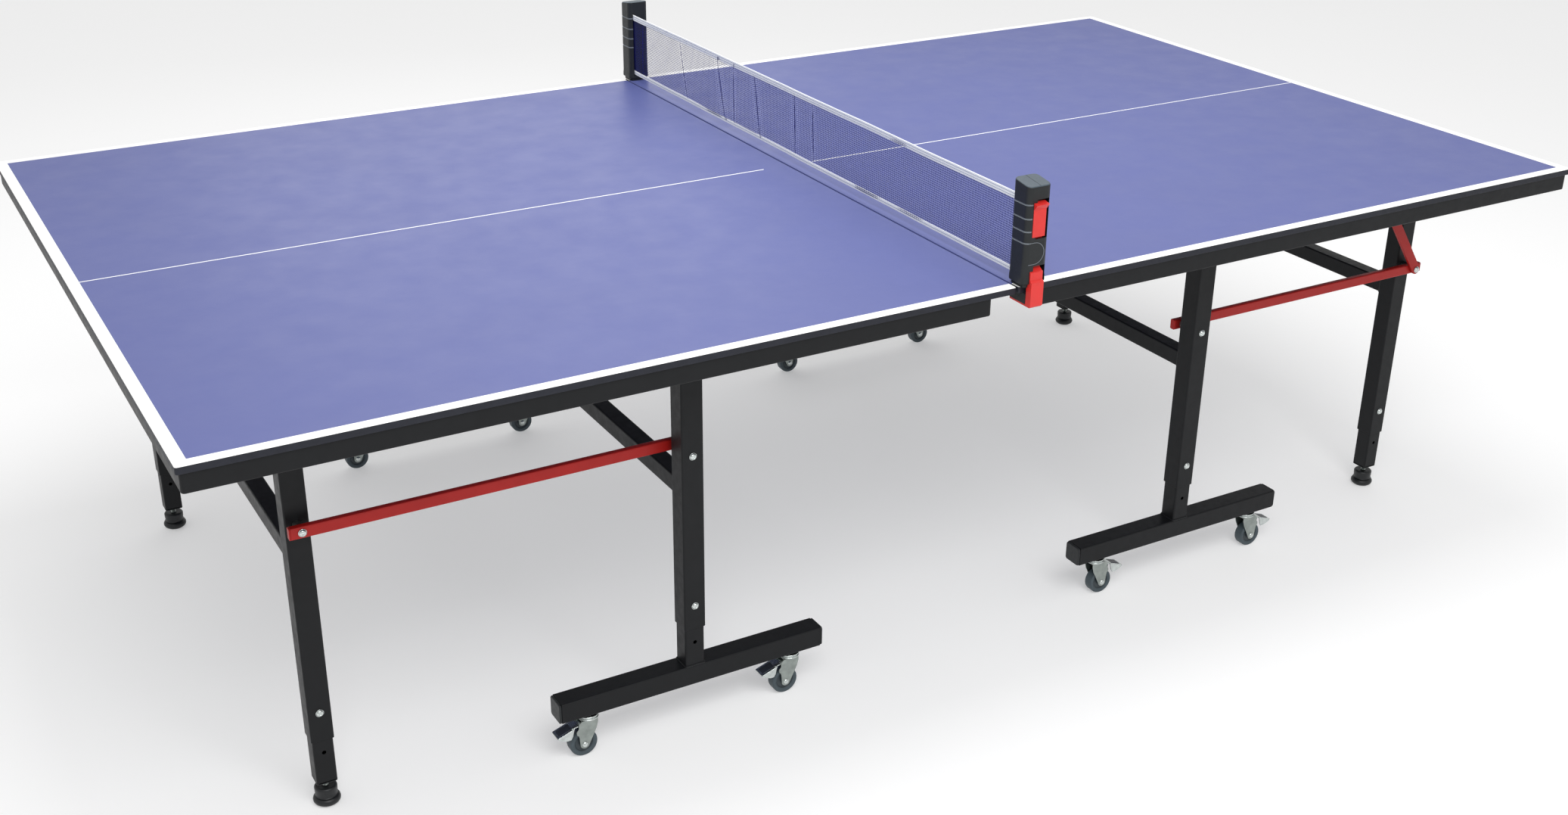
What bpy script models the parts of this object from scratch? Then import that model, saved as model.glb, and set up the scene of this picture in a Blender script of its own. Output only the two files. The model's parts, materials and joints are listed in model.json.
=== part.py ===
"""Folding table tennis table: two identical halves on casters, with a clamp-on retractable net.

Metres, +Z up, origin on the floor under the middle of the net line. X runs along the table, and the
right half is at +X. Y runs along the net, and the near edge is at -Y. Each half is laid out by its
distance "out" from the net line, so the left half is the right half turned half a turn about Z.
"""

import math

import bmesh
import bpy
from mathutils import Matrix

# ---------------------------------------------------------------- driving dimensions
TABLE_LENGTH = 2.740
TABLE_WIDTH = 1.525
TABLE_HEIGHT = 0.760
NET_LINE_GAP = 0.004  # between the two boards, so that one half can swing past the other
CLEAR = 0.0003  # air between pieces that touch on the real table
RUNNING = 0.0004  # radial clearance of a pin in its hole

BOARD_THICK = 0.012
APRON_INSET = 0.005
APRON_HEIGHT = 0.0317
APRON_FLANGE = 0.018
APRON_SHEET = 0.002
APRON_START = 0.047  # the apron stops here, to leave the board's edge free for the net clamp

TUBE_WALL = 0.0015
TUBE_CORNER = 0.003

FOLD_OUT = 0.544  # the T-leg, and the axis that each half folds about
END_LEG_OUT = 1.172
PIVOT_Z = 0.690
LINK_Z = 0.523
T_LEG_Y = 0.617
END_LEG_Y = 0.535
LINK_Y = 0.576

T_LEG_SIZE = 0.040
T_LEG_LOW = 0.195
T_CROSSBAR_Z = 0.458
END_LEG_SIZE = 0.038
END_LEG_LOW = 0.130
END_CROSSBAR_Z = 0.4675
CROSSBAR_SIZE = 0.032
LEG_TOP = PIVOT_Z + 0.012

INNER_FIT = 0.0003  # gap between a telescoping tube and the tube around it
T_BASE_LENGTH = 0.510
T_BASE_WIDTH = 0.040
T_BASE_HEIGHT = 0.038
T_BASE_LOW = 0.083
T_INNER_TOP = 0.300
END_INNER_LOW = 0.046
END_INNER_TOP = 0.250

LINK_HEIGHT = 0.020
LINK_WIDTH = 0.012
LINK_WALL = 0.0012
LINK_OVERRUN = 0.020  # from each pivot to the end of the bar
STAY_THICK = 0.006
STAY_WIDTH = 0.020
STAY_ANGLE = math.radians(55)

PIN_RADIUS = 0.004
HEAD_RADIUS = 0.0068
HEAD_HEIGHT = 0.0045
SPACER_RADIUS = 0.008

RAIL_WIDTH = 0.038
RAIL_HEIGHT = 0.025
BRACKET_GAP = 0.0008
BRACKET_LENGTH = 0.030
BRACKET_LOW = PIVOT_Z - 0.014

CASTER_SPREAD = 0.1965  # from the T-leg to each swivel stem
CASTER_TRAIL = 0.0125
WHEEL_RADIUS = 0.025
WHEEL_WIDTH = 0.020
FORK_SHEET = 0.0020
FORK_INNER = WHEEL_WIDTH / 2 + 0.0013
CROWN_LOW = 0.0705
CROWN_RADIUS = 0.019
STEM_RADIUS = 0.005
PEDAL_PIVOT = (0.018, 0.060)  # distance out from the stem, and height

FOOT_RADIUS = 0.0225
FOOT_HEIGHT = 0.034

POST_LOW_X = 0.0002  # the net set stands wholly on the right half
POST_SIZE_X = 0.049
POST_CORNER = 0.011
POST_INNER_Y = 0.7285
POST_OUTER_Y = 0.7755
POST_TOP = 0.942
POST_TOP_FALL = 0.007  # the top slopes down towards the outer face
NET_X = 0.0125
NET_THICK = 0.0016
NET_END_Y = 0.7395
NET_LOW = 0.775
NET_TOP = 0.9125
ROLLER_X = 0.022
ROLLER_Y = 0.7405
ROLLER_RADIUS = 0.0082
LEVER_LOW_X = 0.0205
LEVER_SIZE_X = 0.0255
LEVER_PIN_OVERHANG = 0.0012  # of the pin, past each side of the lever
LEVER_PIVOT_Y = 0.7645
LEVER_PIVOT_Z = 0.815

# ---------------------------------------------------------------- worked out from them
HALF_TABLE = TABLE_LENGTH / 2
HALF_WIDTH = TABLE_WIDTH / 2
BOARD_LOW = TABLE_HEIGHT - BOARD_THICK
APRON_TOP = BOARD_LOW - CLEAR
APRON_LOW = APRON_TOP - APRON_HEIGHT
RAIL_TOP = APRON_TOP
RAIL_LOW = RAIL_TOP - RAIL_HEIGHT
T_BASE_TOP = T_BASE_LOW + T_BASE_HEIGHT
POST_MID_Y = (POST_INNER_Y + POST_OUTER_Y) / 2
POST_DEPTH = POST_OUTER_Y - POST_INNER_Y
STAY_Y = LINK_Y + LINK_WIDTH / 2 + 0.0010 + STAY_THICK / 2
STAY_LENGTH = (PIVOT_Z + 0.008 - LINK_Z) / math.sin(STAY_ANGLE)

SIDES = {"left": -1, "right": 1}
EDGES = {"near": -1, "far": 1}
PLACES = {"inner": -1, "outer": 1}  # a caster on the net side or the end side of its T-leg


# ---------------------------------------------------------------- scene and materials
def clear_scene():
    for obj in list(bpy.data.objects):
        bpy.data.objects.remove(obj, do_unlink=True)


def new_collection(name):
    made = bpy.data.collections.new(name)
    bpy.context.scene.collection.children.link(made)
    return made


def paint(name, colour, roughness, metallic=0.0):
    material = bpy.data.materials.new(name)
    material.use_nodes = True
    shader = material.node_tree.nodes["Principled BSDF"]
    shader.inputs["Base Color"].default_value = (*colour, 1.0)
    shader.inputs["Roughness"].default_value = roughness
    shader.inputs["Metallic"].default_value = metallic
    return material


clear_scene()
TABLE = new_collection("table_tennis_table")
CUTTERS = new_collection("cutters")
BLUE_BOARD = paint("blue_board", (0.16, 0.18, 0.44), 0.45)
BLACK_STEEL = paint("black_steel", (0.015, 0.016, 0.018), 0.42, 0.6)
RED_STEEL = paint("red_steel", (0.36, 0.025, 0.018), 0.45, 0.3)
ZINC = paint("zinc", (0.55, 0.57, 0.55), 0.32, 1.0)
GREY_WHEEL = paint("grey_wheel", (0.10, 0.13, 0.15), 0.6)
BLACK_PLASTIC = paint("black_plastic", (0.014, 0.016, 0.018), 0.5)
RED_PLASTIC = paint("red_plastic", (0.75, 0.05, 0.04), 0.4)
NET_MESH = paint("net_mesh", (0.03, 0.035, 0.10), 0.8)


# ---------------------------------------------------------------- modelling tools
def add_object(name, mesh, material):
    """Links a finished piece, or with no material a helper that only joins or cuts."""
    obj = bpy.data.objects.new(name, mesh)
    if material is None:
        CUTTERS.objects.link(obj)
        obj.hide_render = True
        obj.display_type = "WIRE"
        return obj
    mesh.materials.append(material)
    TABLE.objects.link(obj)
    return obj


def object_from(name, bm, material):
    bmesh.ops.recalc_face_normals(bm, faces=bm.faces)
    mesh = bpy.data.meshes.new(name)
    bm.to_mesh(mesh)
    bm.free()
    return add_object(name, mesh, material)


def add_bevel(obj, width, segments=2):
    bevel = obj.modifiers.new("round", "BEVEL")
    bevel.width = width
    bevel.segments = segments
    bevel.limit_method = "ANGLE"
    bevel.angle_limit = math.radians(40)


def box(name, centre, size, material=None, bevel=0.0, segments=2):
    """A box whose origin is its centre."""
    bm = bmesh.new()
    bmesh.ops.create_cube(bm, size=1.0)
    bmesh.ops.scale(bm, vec=size, verts=bm.verts)
    obj = object_from(name, bm, material)
    obj.location = centre
    if bevel:
        add_bevel(obj, bevel, segments)
    return obj


def tube(name, centre, size, along, material=None, wall=TUBE_WALL, corner=TUBE_CORNER):
    """A rectangular tube, open at both ends of the axis numbered by along."""
    bm = bmesh.new()
    bmesh.ops.create_cube(bm, size=1.0)
    bmesh.ops.scale(bm, vec=size, verts=bm.verts)
    ends = [face for face in bm.faces if abs(face.normal[along]) > 0.5]
    bmesh.ops.delete(bm, geom=ends, context="FACES_ONLY")
    obj = object_from(name, bm, material)
    obj.location = centre
    add_bevel(obj, corner)
    shell = obj.modifiers.new("wall", "SOLIDIFY")
    shell.thickness = wall
    shell.offset = -1
    shell.use_even_offset = True
    return obj


def turned(name, profile, location, rotation=(0, 0, 0), material=None, steps=16, ring=False):
    """A profile of (radius, height) points, listed down its outer side, turned about its own Z."""
    bm = bmesh.new()
    verts = [bm.verts.new((radius, 0, height)) for radius, height in profile]
    pairs = list(zip(verts, verts[1:]))
    if ring:
        pairs.append((verts[-1], verts[0]))
    for first, second in pairs:
        bm.edges.new((first, second))
    mesh = bpy.data.meshes.new(name)
    bm.to_mesh(mesh)
    bm.free()
    obj = add_object(name, mesh, material)
    screw = obj.modifiers.new("turn", "SCREW")
    screw.steps = steps
    screw.render_steps = steps
    screw.use_merge_vertices = True
    screw.merge_threshold = 0.00001
    obj.location = location
    obj.rotation_euler = rotation
    return obj


def stepped(steps):
    """The profile of a turned pin, from (radius, top, bottom) steps listed top to bottom."""
    profile = [(0, steps[0][1])]
    for radius, top, bottom in steps:
        profile += [(radius, top), (radius, bottom)]
    profile.append((0, steps[-1][2]))
    return profile


def across(edge):
    """The rotation that points a turned piece's top outward, along -Y at the near edge."""
    return (-edge * math.pi / 2, 0, 0)


def plate(name, outline, along, centre, thick, material=None):
    """A flat outline given in the other two axes, in their X, Y, Z order, and thick along one axis."""
    curve = bpy.data.curves.new(name, "CURVE")
    curve.dimensions = "2D"
    curve.fill_mode = "BOTH"
    curve.extrude = thick / 2
    spline = curve.splines.new("POLY")
    spline.points.add(len(outline) - 1)
    for point, (first, second) in zip(spline.points, outline):
        point.co = (first, second, 0, 1)
    spline.use_cyclic_u = True
    drawn = bpy.data.objects.new(name, curve)
    TABLE.objects.link(drawn)
    graph = bpy.context.evaluated_depsgraph_get()
    mesh = bpy.data.meshes.new_from_object(drawn.evaluated_get(graph))
    bpy.data.objects.remove(drawn, do_unlink=True)
    turns = {
        0: Matrix(((0, 0, 1), (1, 0, 0), (0, 1, 0))),
        1: Matrix(((1, 0, 0), (0, 0, -1), (0, 1, 0))),
        2: Matrix.Identity(3),
    }
    mesh.transform(turns[along].to_4x4())
    bm = bmesh.new()
    bm.from_mesh(mesh)
    bmesh.ops.remove_doubles(bm, verts=bm.verts, dist=0.000001)
    bpy.data.meshes.remove(mesh)
    obj = object_from(name, bm, material)
    obj.location = centre
    return obj


def arc(middle, radius, start, end, steps):
    """Points along an arc, with its angles in degrees."""
    points = []
    for i in range(steps + 1):
        angle = math.radians(start + (end - start) * i / steps)
        points.append((middle[0] + radius * math.cos(angle), middle[1] + radius * math.sin(angle)))
    return points


def combine(obj, other, operation):
    boolean = obj.modifiers.new(other.name, "BOOLEAN")
    boolean.operation = operation
    boolean.object = other


def join(obj, *others):
    for other in others:
        combine(obj, other, "UNION")
    return obj


def cut(obj, *others):
    for other in others:
        combine(obj, other, "DIFFERENCE")
    return obj


def move_origin(obj, point):
    """Puts the origin at a point, so that the piece turns about its own joint."""
    shift = Matrix.Translation(obj.location) @ Matrix.Translation([-c for c in point])
    obj.data.transform(shift)
    obj.location = point
    return obj


def hang(axis_name, point, pieces):
    """Parents the pieces that move as one to an empty on the axis of their joint."""
    axis = bpy.data.objects.new(axis_name, None)
    TABLE.objects.link(axis)
    axis.location = point
    for piece in pieces:
        piece.parent = axis
        piece.matrix_parent_inverse = Matrix.Translation([-c for c in point])


# ---------------------------------------------------------------- the top of a half
def make_board(side, s):
    start = NET_LINE_GAP / 2
    length = HALF_TABLE - start
    centre = (s * (start + length / 2), 0, TABLE_HEIGHT - BOARD_THICK / 2)
    size = (length, TABLE_WIDTH, BOARD_THICK)
    return box(f"{side}_board", centre, size, BLUE_BOARD, bevel=0.001)


def make_apron(side, s):
    """A folded steel rim: an upright web with a flange under the board."""
    end = HALF_TABLE - APRON_INSET
    size = (end - APRON_START, TABLE_WIDTH - 2 * APRON_INSET, APRON_HEIGHT)
    bm = bmesh.new()
    bmesh.ops.create_cube(bm, size=1.0)
    bmesh.ops.scale(bm, vec=size, verts=bm.verts)
    top = [face for face in bm.faces if face.normal.z > 0.5]
    bottom = [face for face in bm.faces if face.normal.z < -0.5]
    bmesh.ops.delete(bm, geom=bottom, context="FACES_ONLY")
    bmesh.ops.inset_region(bm, faces=top, thickness=APRON_FLANGE, use_even_offset=True)
    bmesh.ops.delete(bm, geom=top, context="FACES_ONLY")
    apron = object_from(f"{side}_apron_frame", bm, BLACK_STEEL)
    apron.location = (s * (APRON_START + end) / 2, 0, APRON_TOP - APRON_HEIGHT / 2)
    add_bevel(apron, 0.003)
    shell = apron.modifiers.new("sheet", "SOLIDIFY")
    shell.thickness = APRON_SHEET
    shell.offset = -1
    shell.use_even_offset = True
    return apron


def hinge_parts(name, s, edge, out, leg_y, leg_size, ear_side):
    """One ear hung from the leg rail beside a leg, with the pin that the leg turns on.

    The ear is outside the leg where ear_side is 1, and inside it where ear_side is -1.
    """
    leg_face = leg_y + ear_side * (leg_size / 2 + BRACKET_GAP)
    rail_face = LINK_Y - ear_side * (RAIL_WIDTH / 2 - 0.0008)
    ear_top = RAIL_LOW + 0.010
    ear = box(
        f"{name}_ear",
        (s * out, edge * (leg_face + rail_face) / 2, (BRACKET_LOW + ear_top) / 2),
        (BRACKET_LENGTH, abs(rail_face - leg_face), ear_top - BRACKET_LOW),
    )
    if ear_side > 0:
        head = leg_y - leg_size / 2 - CLEAR
        steps = ((PIN_RADIUS, rail_face, head), (HEAD_RADIUS, head, head - HEAD_HEIGHT))
    else:
        leg_outside = leg_y + leg_size / 2 - 0.0008
        steps = (
            (PIN_RADIUS, leg_outside, rail_face + 0.001),
            (HEAD_RADIUS, rail_face + 0.001, rail_face - HEAD_HEIGHT),
        )
    pin = turned(f"{name}_pin", stepped(steps), (s * out, 0, PIVOT_Z), across(edge))
    return [ear, pin]


def make_leg_rail(side, s, edge_name, edge):
    """The tube along each side under the board, which carries the hinge ears of both legs."""
    web = APRON_SHEET + 0.0012
    start = APRON_START + web
    end = HALF_TABLE - APRON_INSET - web
    name = f"{side}_{edge_name}_leg_rail"
    rail_top = APRON_TOP - APRON_SHEET - CLEAR
    rail = tube(
        name,
        (s * (start + end) / 2, edge * LINK_Y, (rail_top + RAIL_LOW) / 2),
        (end - start, RAIL_WIDTH, rail_top - RAIL_LOW),
        0,
        BLACK_STEEL,
        corner=0.003,
    )
    join(rail, *hinge_parts(f"{name}_t", s, edge, FOLD_OUT, T_LEG_Y, T_LEG_SIZE, -1))
    join(rail, *hinge_parts(f"{name}_e", s, edge, END_LEG_OUT, END_LEG_Y, END_LEG_SIZE, 1))
    return rail


# ---------------------------------------------------------------- the leg frames
def leg_frame(name, s, out, leg_y, leg_size, low_z, crossbar_z):
    """Two uprights joined by a crossbar, with the holes that the bracket pins run in."""
    centre_z = (low_z + LEG_TOP) / 2
    size = (leg_size, leg_size, LEG_TOP - low_z)
    frame = tube(name, (s * out, -leg_y, centre_z), size, 2, BLACK_STEEL)
    other = tube(f"{name}_far_upright", (s * out, leg_y, centre_z), size, 2)
    reach = leg_y - leg_size / 2 + 0.0008
    crossbar = tube(
        f"{name}_crossbar",
        (s * out, 0, crossbar_z),
        (CROSSBAR_SIZE, 2 * reach, CROSSBAR_SIZE),
        1,
        corner=0.003,
    )
    join(frame, other, crossbar)
    drain_z = crossbar_z - CROSSBAR_SIZE / 2
    cut(frame, box(f"{name}_drain", (s * out, 0, drain_z), (0.006, 0.006, 0.006)))
    hole = PIN_RADIUS + RUNNING
    reach = leg_y + leg_size
    bore = stepped(((hole, reach, -reach),))
    cut(frame, turned(f"{name}_bore", bore, (s * out, 0, PIVOT_Z), across(1), steps=12))
    return frame


def link_bolt(name, s, edge, out, steps):
    return turned(name, stepped(steps), (s * out, 0, LINK_Z), across(edge))


def make_t_frame(side, s):
    name = f"{side}_t_frame"
    frame = leg_frame(name, s, FOLD_OUT, T_LEG_Y, T_LEG_SIZE, T_LEG_LOW, T_CROSSBAR_Z)
    outer = T_LEG_Y + T_LEG_SIZE / 2
    inner = T_LEG_Y - T_LEG_SIZE / 2
    bar_outer = LINK_Y + LINK_WIDTH / 2 + CLEAR
    bar_inner = LINK_Y - LINK_WIDTH / 2 - CLEAR
    steps = (
        (HEAD_RADIUS, outer + HEAD_HEIGHT, outer - 0.001),
        (PIN_RADIUS, outer - 0.001, inner + 0.001),
        (SPACER_RADIUS, inner + 0.001, bar_outer),
        (PIN_RADIUS, bar_outer, bar_inner),
        (HEAD_RADIUS, bar_inner, bar_inner - HEAD_HEIGHT),
    )
    for edge_name, edge in EDGES.items():
        join(frame, link_bolt(f"{name}_{edge_name}_bolt", s, edge, FOLD_OUT, steps))
    move_origin(frame, (s * FOLD_OUT, 0, PIVOT_Z))


def make_end_leg_frame(side, s):
    name = f"{side}_end_leg_frame"
    frame = leg_frame(name, s, END_LEG_OUT, END_LEG_Y, END_LEG_SIZE, END_LEG_LOW, END_CROSSBAR_Z)
    outer = END_LEG_Y + END_LEG_SIZE / 2
    inner = END_LEG_Y - END_LEG_SIZE / 2
    bar_inner = LINK_Y - LINK_WIDTH / 2 - CLEAR
    for edge_name, edge in EDGES.items():
        head_low = LINK_Y + LINK_WIDTH / 2 + CLEAR
        if edge == -s:
            head_low = STAY_Y + STAY_THICK / 2 + CLEAR
        steps = (
            (HEAD_RADIUS, head_low + HEAD_HEIGHT, head_low),
            (PIN_RADIUS, head_low, bar_inner),
            (SPACER_RADIUS, bar_inner, outer - 0.001),
            (PIN_RADIUS, outer - 0.001, inner + 0.001),
            (HEAD_RADIUS, inner + 0.001, inner - HEAD_HEIGHT),
        )
        join(frame, link_bolt(f"{name}_{edge_name}_bolt", s, edge, END_LEG_OUT, steps))
    move_origin(frame, (s * END_LEG_OUT, 0, PIVOT_Z))


def make_t_base(side, s, edge_name, edge):
    """The foot bar of a T-leg with the inner tube that stands on it, inside the leg."""
    name = f"{side}_{edge_name}_t_base"
    size = (T_BASE_LENGTH, T_BASE_WIDTH, T_BASE_HEIGHT)
    bar_z = T_BASE_LOW + T_BASE_HEIGHT / 2
    base = tube(name, (s * FOLD_OUT, edge * T_LEG_Y, bar_z), size, 0, BLACK_STEEL)
    inner = T_LEG_SIZE - 2 * TUBE_WALL - 2 * INNER_FIT
    foot = T_BASE_TOP - 0.0008
    upright = tube(
        f"{name}_upright",
        (s * FOLD_OUT, edge * T_LEG_Y, (foot + T_INNER_TOP) / 2),
        (inner, inner, T_INNER_TOP - foot),
        2,
        corner=0.003,
    )
    join(base, upright)
    for place, p in PLACES.items():
        out = FOLD_OUT + p * CASTER_SPREAD
        hole = stepped(((STEM_RADIUS + 0.0006, T_BASE_LOW + 0.006, T_BASE_LOW - 0.006),))
        cut(base, turned(f"{name}_{place}_hole", hole, (s * out, edge * T_LEG_Y, 0), steps=12))


def make_end_leg_tube(side, s, edge_name, edge):
    """The inner tube of an end leg, closed below by the plate that the foot screws into."""
    name = f"{side}_{edge_name}_end_leg_tube"
    inner = END_LEG_SIZE - 2 * TUBE_WALL - 2 * INNER_FIT
    centre = (s * END_LEG_OUT, edge * END_LEG_Y, (END_INNER_LOW + END_INNER_TOP) / 2)
    leg = tube(
        name, centre, (inner, inner, END_INNER_TOP - END_INNER_LOW), 2, BLACK_STEEL, corner=0.003
    )
    plug_thick = 0.005
    plug_size = (inner - TUBE_WALL, inner - TUBE_WALL, plug_thick)
    plug_z = END_INNER_LOW + plug_thick / 2 + 0.0005
    join(leg, box(f"{name}_plug", (centre[0], centre[1], plug_z), plug_size))
    hole = stepped(((STEM_RADIUS + RUNNING, plug_z + plug_thick, plug_z - plug_thick),))
    cut(leg, turned(f"{name}_hole", hole, (centre[0], centre[1], 0), steps=12))
    return leg


def make_levelling_foot(side, s, edge_name, edge):
    """A knob with a broad sole and a narrower grip, on a threaded stem."""
    grip = FOOT_RADIUS * 0.83
    sole = 0.015
    profile = (
        (0, END_INNER_LOW + 0.024),
        (STEM_RADIUS, END_INNER_LOW + 0.024),
        (STEM_RADIUS, FOOT_HEIGHT),
        (grip * 0.75, FOOT_HEIGHT),
        (grip, FOOT_HEIGHT - 0.004),
        (grip, sole + 0.002),
        (FOOT_RADIUS - 0.001, sole),
        (FOOT_RADIUS, sole - 0.003),
        (FOOT_RADIUS, 0.003),
        (FOOT_RADIUS - 0.003, 0),
        (0, 0),
    )
    place = (s * END_LEG_OUT, edge * END_LEG_Y, 0)
    turned(f"{side}_{edge_name}_levelling_foot", profile, place, (0, 0, 0), BLACK_PLASTIC, steps=20)


# ---------------------------------------------------------------- the folding linkage
def make_link_bar(side, s, edge_name, edge):
    """The bar that keeps the end legs parallel to the T-legs as the half folds."""
    name = f"{side}_{edge_name}_link_bar"
    start = FOLD_OUT - LINK_OVERRUN
    end = END_LEG_OUT + LINK_OVERRUN
    size = (end - start, LINK_WIDTH, LINK_HEIGHT)
    centre = (s * (start + end) / 2, edge * LINK_Y, LINK_Z)
    bar = tube(name, centre, size, 0, RED_STEEL, wall=LINK_WALL, corner=0.002)
    hole = stepped(((PIN_RADIUS + RUNNING, LINK_Y + LINK_WIDTH, LINK_Y - LINK_WIDTH),))
    for number, out in enumerate((FOLD_OUT, END_LEG_OUT)):
        place = (s * out, 0, LINK_Z)
        cut(bar, turned(f"{name}_hole{number}", hole, place, across(edge), steps=12))
    move_origin(bar, (s * FOLD_OUT, edge * LINK_Y, LINK_Z))


def make_stay(side, s):
    """The flat stay from the end leg's link bolt up towards the leg rail, on one side of a half."""
    name = f"{side}_stay"
    edge = -s
    half = STAY_WIDTH / 2
    outline = arc((0, 0), half, -180, 0, 6) + arc((0, STAY_LENGTH), half, 0, 180, 6)
    pivot = (s * END_LEG_OUT, edge * STAY_Y, LINK_Z)
    stay = plate(name, outline, 1, pivot, STAY_THICK, RED_STEEL)
    lean = math.pi / 2 - STAY_ANGLE
    stay.data.transform(Matrix.Rotation(-s * lean, 4, "Y"))
    hole = stepped(((PIN_RADIUS + RUNNING, STAY_Y + STAY_THICK, STAY_Y - STAY_THICK),))
    cut(stay, turned(f"{name}_hole", hole, (pivot[0], 0, LINK_Z), across(edge), steps=12))


# ---------------------------------------------------------------- the casters
def make_fork(name, s, x, y):
    """The plated fork with its stem, raceway and axle. Its cheeks trail away from the net."""
    top = T_BASE_LOW - CLEAR
    stem = stepped(
        (
            (STEM_RADIUS, top + 0.012, top),
            (0.0125, top, top - 0.0030),
            (CROWN_RADIUS, top - 0.0030, CROWN_LOW),
        )
    )
    fork = turned(name, stem, (x, y, 0), (0, 0, 0), ZINC, steps=20)
    outer = FORK_INNER + FORK_SHEET
    axle = (CASTER_TRAIL, WHEEL_RADIUS)
    outline = [(-0.0130, CROWN_LOW + 0.0010), (-0.0130, 0.0640)]
    outline += arc(axle, 0.0085, 200, 345, 7)
    outline += [(0.0235, 0.0450), (0.0262, 0.0470), (0.0265, 0.0530), (0.0225, 0.0575)]
    outline += [(0.0225, 0.0660), (0.0130, CROWN_LOW + 0.0010)]
    outline = [(s * out, z) for out, z in outline]
    for edge_name, edge in EDGES.items():
        middle = edge * (FORK_INNER + FORK_SHEET / 2)
        join(fork, plate(f"{name}_{edge_name}_cheek", outline, 1, (x, y + middle, 0), FORK_SHEET))
    pedal_hole = stepped(((0.0024, outer + 0.002, -outer - 0.002),))
    place = (x + s * PEDAL_PIVOT[0], y, PEDAL_PIVOT[1])
    cut(fork, turned(f"{name}_pedal_hole", pedal_hole, place, across(1), steps=10))
    axle_pin = stepped(
        (
            (0.0055, outer + 0.0035, outer - 0.001),
            (0.0030, outer - 0.001, -outer + 0.001),
            (0.0055, -outer + 0.001, -outer - 0.0035),
        )
    )
    place = (x + s * CASTER_TRAIL, y, WHEEL_RADIUS)
    join(fork, turned(f"{name}_axle", axle_pin, place, across(1), steps=12))


def make_wheel(name, s, x, y):
    half = WHEEL_WIDTH / 2
    shoulder = 0.0025
    bore = 0.0035
    profile = (
        (bore, half),
        (WHEEL_RADIUS - shoulder, half),
        (WHEEL_RADIUS, half - shoulder),
        (WHEEL_RADIUS, -half + shoulder),
        (WHEEL_RADIUS - shoulder, -half),
        (bore, -half),
    )
    place = (x + s * CASTER_TRAIL, y, WHEEL_RADIUS)
    turned(name, profile, place, across(1), GREY_WHEEL, steps=28, ring=True)


def make_pedal(name, s, x, y):
    """The brake pedal: an arm between the cheeks, a channel to step on, a shoe and a pin."""
    sheet = 0.0018
    arm_width = 2 * FORK_INNER - 0.0010
    tread_width = 0.026
    pivot_out, pivot_z = PEDAL_PIVOT

    def profile(part, points, width, shift=0.0, material=None):
        outline = [(s * (out - pivot_out), z - pivot_z) for out, z in points]
        return plate(part, outline, 1, (x + s * pivot_out, y + shift, pivot_z), width, material)

    def strip(part, start, end, width, material=None):
        under = [(end[0], end[1] - sheet), (start[0], start[1] - sheet)]
        return profile(part, [start, end, *under], width, material=material)

    pedal = strip(name, (0.0110, 0.0650), (0.0360, 0.0608), arm_width, ZINC)
    join(pedal, strip(f"{name}_tread", (0.0300, 0.0618), (0.0610, 0.0510), tread_width))
    flange = [(0.0300, 0.0610), (0.0600, 0.0506), (0.0600, 0.0480), (0.0400, 0.0510), (0.0300, 0.0520)]
    for edge_name, edge in EDGES.items():
        shift = edge * (tread_width - sheet) / 2
        join(pedal, profile(f"{name}_{edge_name}_flange", flange, sheet, shift))
    shoe_size = (0.0080, 0.016, 0.0120)
    boss_size = (0.0070, 0.020, 0.0060)
    pin = stepped(((0.0020, FORK_INNER + FORK_SHEET, -FORK_INNER - FORK_SHEET),))
    place = (x + s * pivot_out, y, pivot_z)
    join(
        pedal,
        box(f"{name}_shoe", (x + s * 0.0255, y, 0.0560), shoe_size),
        box(f"{name}_boss", (x + s * pivot_out, y, pivot_z + 0.0010), boss_size),
        turned(f"{name}_pin", pin, place, across(1), steps=10),
    )


def make_casters(side, s, edge_name, edge):
    for place, p in PLACES.items():
        x = s * (FOLD_OUT + p * CASTER_SPREAD)
        y = edge * T_LEG_Y
        name = f"{side}_{edge_name}_{place}_caster"
        make_fork(f"{name}_fork", s, x, y)
        make_wheel(f"{name}_wheel", s, x, y)
        make_pedal(f"{name}_pedal", s, x, y)


# ---------------------------------------------------------------- the net set
def rounded_rectangle(size_x, size_y, radius, steps):
    half_x = size_x / 2 - radius
    half_y = size_y / 2 - radius
    points = []
    for quarter, (x, y) in enumerate(((1, 1), (-1, 1), (-1, -1), (1, -1))):
        points += arc((x * half_x, y * half_y), radius, 90 * quarter, 90 * quarter + 90, steps)
    return points


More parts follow.
